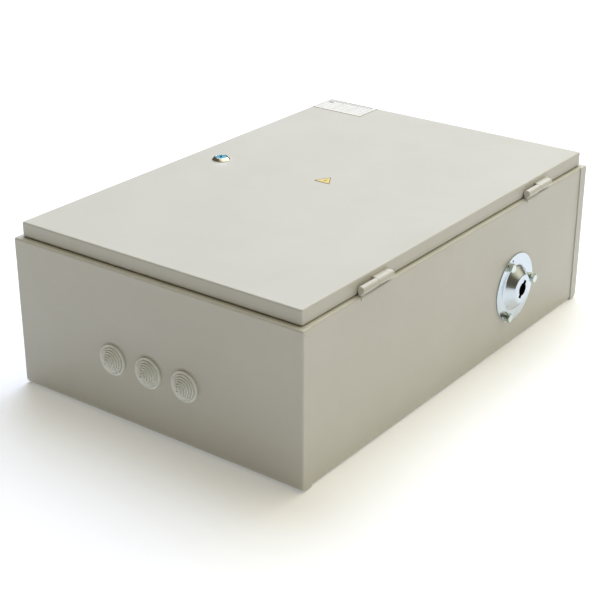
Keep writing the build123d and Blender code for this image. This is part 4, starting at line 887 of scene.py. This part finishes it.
def motor_ribs(shape):
    """Cooling ribs along the motor."""
    low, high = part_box("drive_motor")
    start, end = low[0] / MM + 9, low[0] / MM + 46
    y, z = (low[1] + high[1]) / 2 / MM, (low[2] + high[2]) / 2 / MM
    for i in range(18):
        angle = math.radians(20 * i)
        cosine, sine = math.cos(angle), math.sin(angle)
        profile = [(17.6, -0.7), (19.2, -0.45), (19.2, 0.45), (17.6, 0.7)]
        points = [(y + r * cosine - t * sine, z + r * sine + t * cosine) for r, t in profile]
        ends = [[shape.verts.new((x, *point)) for point in points] for x in (start, end)]
        shape.faces.new(ends[0][::-1])
        shape.faces.new(ends[1])
        for k in range(4):
            far = (k + 1) % 4
            shape.faces.new((ends[0][k], ends[0][far], ends[1][far], ends[1][k]))


marking = finish(
    "marking_field", linear(232, 232, 228), linear(222, 222, 217), 60, (0.4, 0.5), ((1800.0, 0.000004),),
)
add_piece("clamp_screws", well_screws, "brass_fittings", "enclosure", look=materials["steel"])
add_piece("relay_dials", relay_dials, "knob_black", "enclosure", sharp=40)
add_piece("marking_fields", face_fields, "device_grey", "enclosure", bevel=0.08, look=marking)
add_piece("signal_lamps", lamps, "button_green", "enclosure", sharp=60)
add_piece("display_bars", display_bars, "display_glass", "enclosure", look=materials["knob_black"])
add_piece("selector_marks", selector_marks, "device_grey", "enclosure", look=marking)
add_piece("motor_ribs", motor_ribs, "motor_black", "enclosure", sharp=20)


# ==== room ===================================================================================
FLOOR_HALF = 40.0         # wide enough that a low view from behind doesn't reach its end
floor_mesh = bpy.data.meshes.new("floor")
floor_corners = [(-1, -1), (1, -1), (1, 1), (-1, 1)]
floor_mesh.from_pydata([(FLOOR_HALF * x, FLOOR_HALF * y, 0) for x, y in floor_corners], [], [(0, 1, 2, 3)])
floor = bpy.data.objects.new("floor", floor_mesh)
floor.location.z = cad_box[0][2] - 0.0002
scene.collection.objects.link(floor)
floor_mesh.materials.append(
    finish(
        "floor_paper", (0.88, 0.89, 0.92, 1), (0.87, 0.88, 0.91, 1), 3, (0.75, 0.9), ((60.0, 0.0001),),
        settings={"Emission Color": (0.95, 0.98, 1, 1), "Emission Strength": 0.2},
    )
)

world = bpy.data.worlds.new("room")
scene.world = world
world.use_nodes = True
OVERHEAD = (1.0, 0.925, 0.68, 1.0)      # a warm white ceiling panel over dim walls
WALLS = (0.07, 0.06, 0.04, 1.0)
CEILING_STRENGTH = 1.6
CEILING_TOWARDS = (0.08, 0.45, 0.889)   # the panel's middle lies behind the object
CEILING_EDGE = (0.60, 0.86)             # the panel fades in between these cosines


def light_room(tree):
    """Lights the room by direction, from the dim walls to the panel overhead."""
    background = tree.nodes["Background"]
    towards = add_node(tree, "TexCoord").outputs["Generated"]
    dot = add_node(tree, "VectorMath", {"operation": "DOT_PRODUCT"}, i0=towards, i1=CEILING_TOWARDS)
    share = spread(tree, dot.outputs["Value"], 0.0, 1.0, *CEILING_EDGE)
    tree.links.new(mix_colour(tree, share, WALLS, OVERHEAD), background.inputs["Color"])
    background.inputs["Strength"].default_value = CEILING_STRENGTH


light_room(world.node_tree)


def softbox(name, place, aim, size, watts, colour):
    """A square area light that points at aim."""
    data = bpy.data.lights.new(name, "AREA")
    data.shape = "SQUARE"
    data.size = size
    data.energy = watts
    data.color = colour
    lamp = bpy.data.objects.new(name, data)
    lamp.location = place
    lamp.rotation_euler = (Vector(aim) - Vector(place)).to_track_quat("-Z", "Y").to_euler()
    scene.collection.objects.link(lamp)


OBJECT_MIDDLE = (0, 0, 0.1)
softbox("top_light", (-0.9, 1.3, 2.9), OBJECT_MIDDLE, 2.2, 80, (0.56, 0.68, 1.0))
softbox("back_light", (0.2, 2.2, 1.9), OBJECT_MIDDLE, 1.6, 13, (1.0, 0.98, 0.9))
scene.view_settings.view_transform = "Standard"
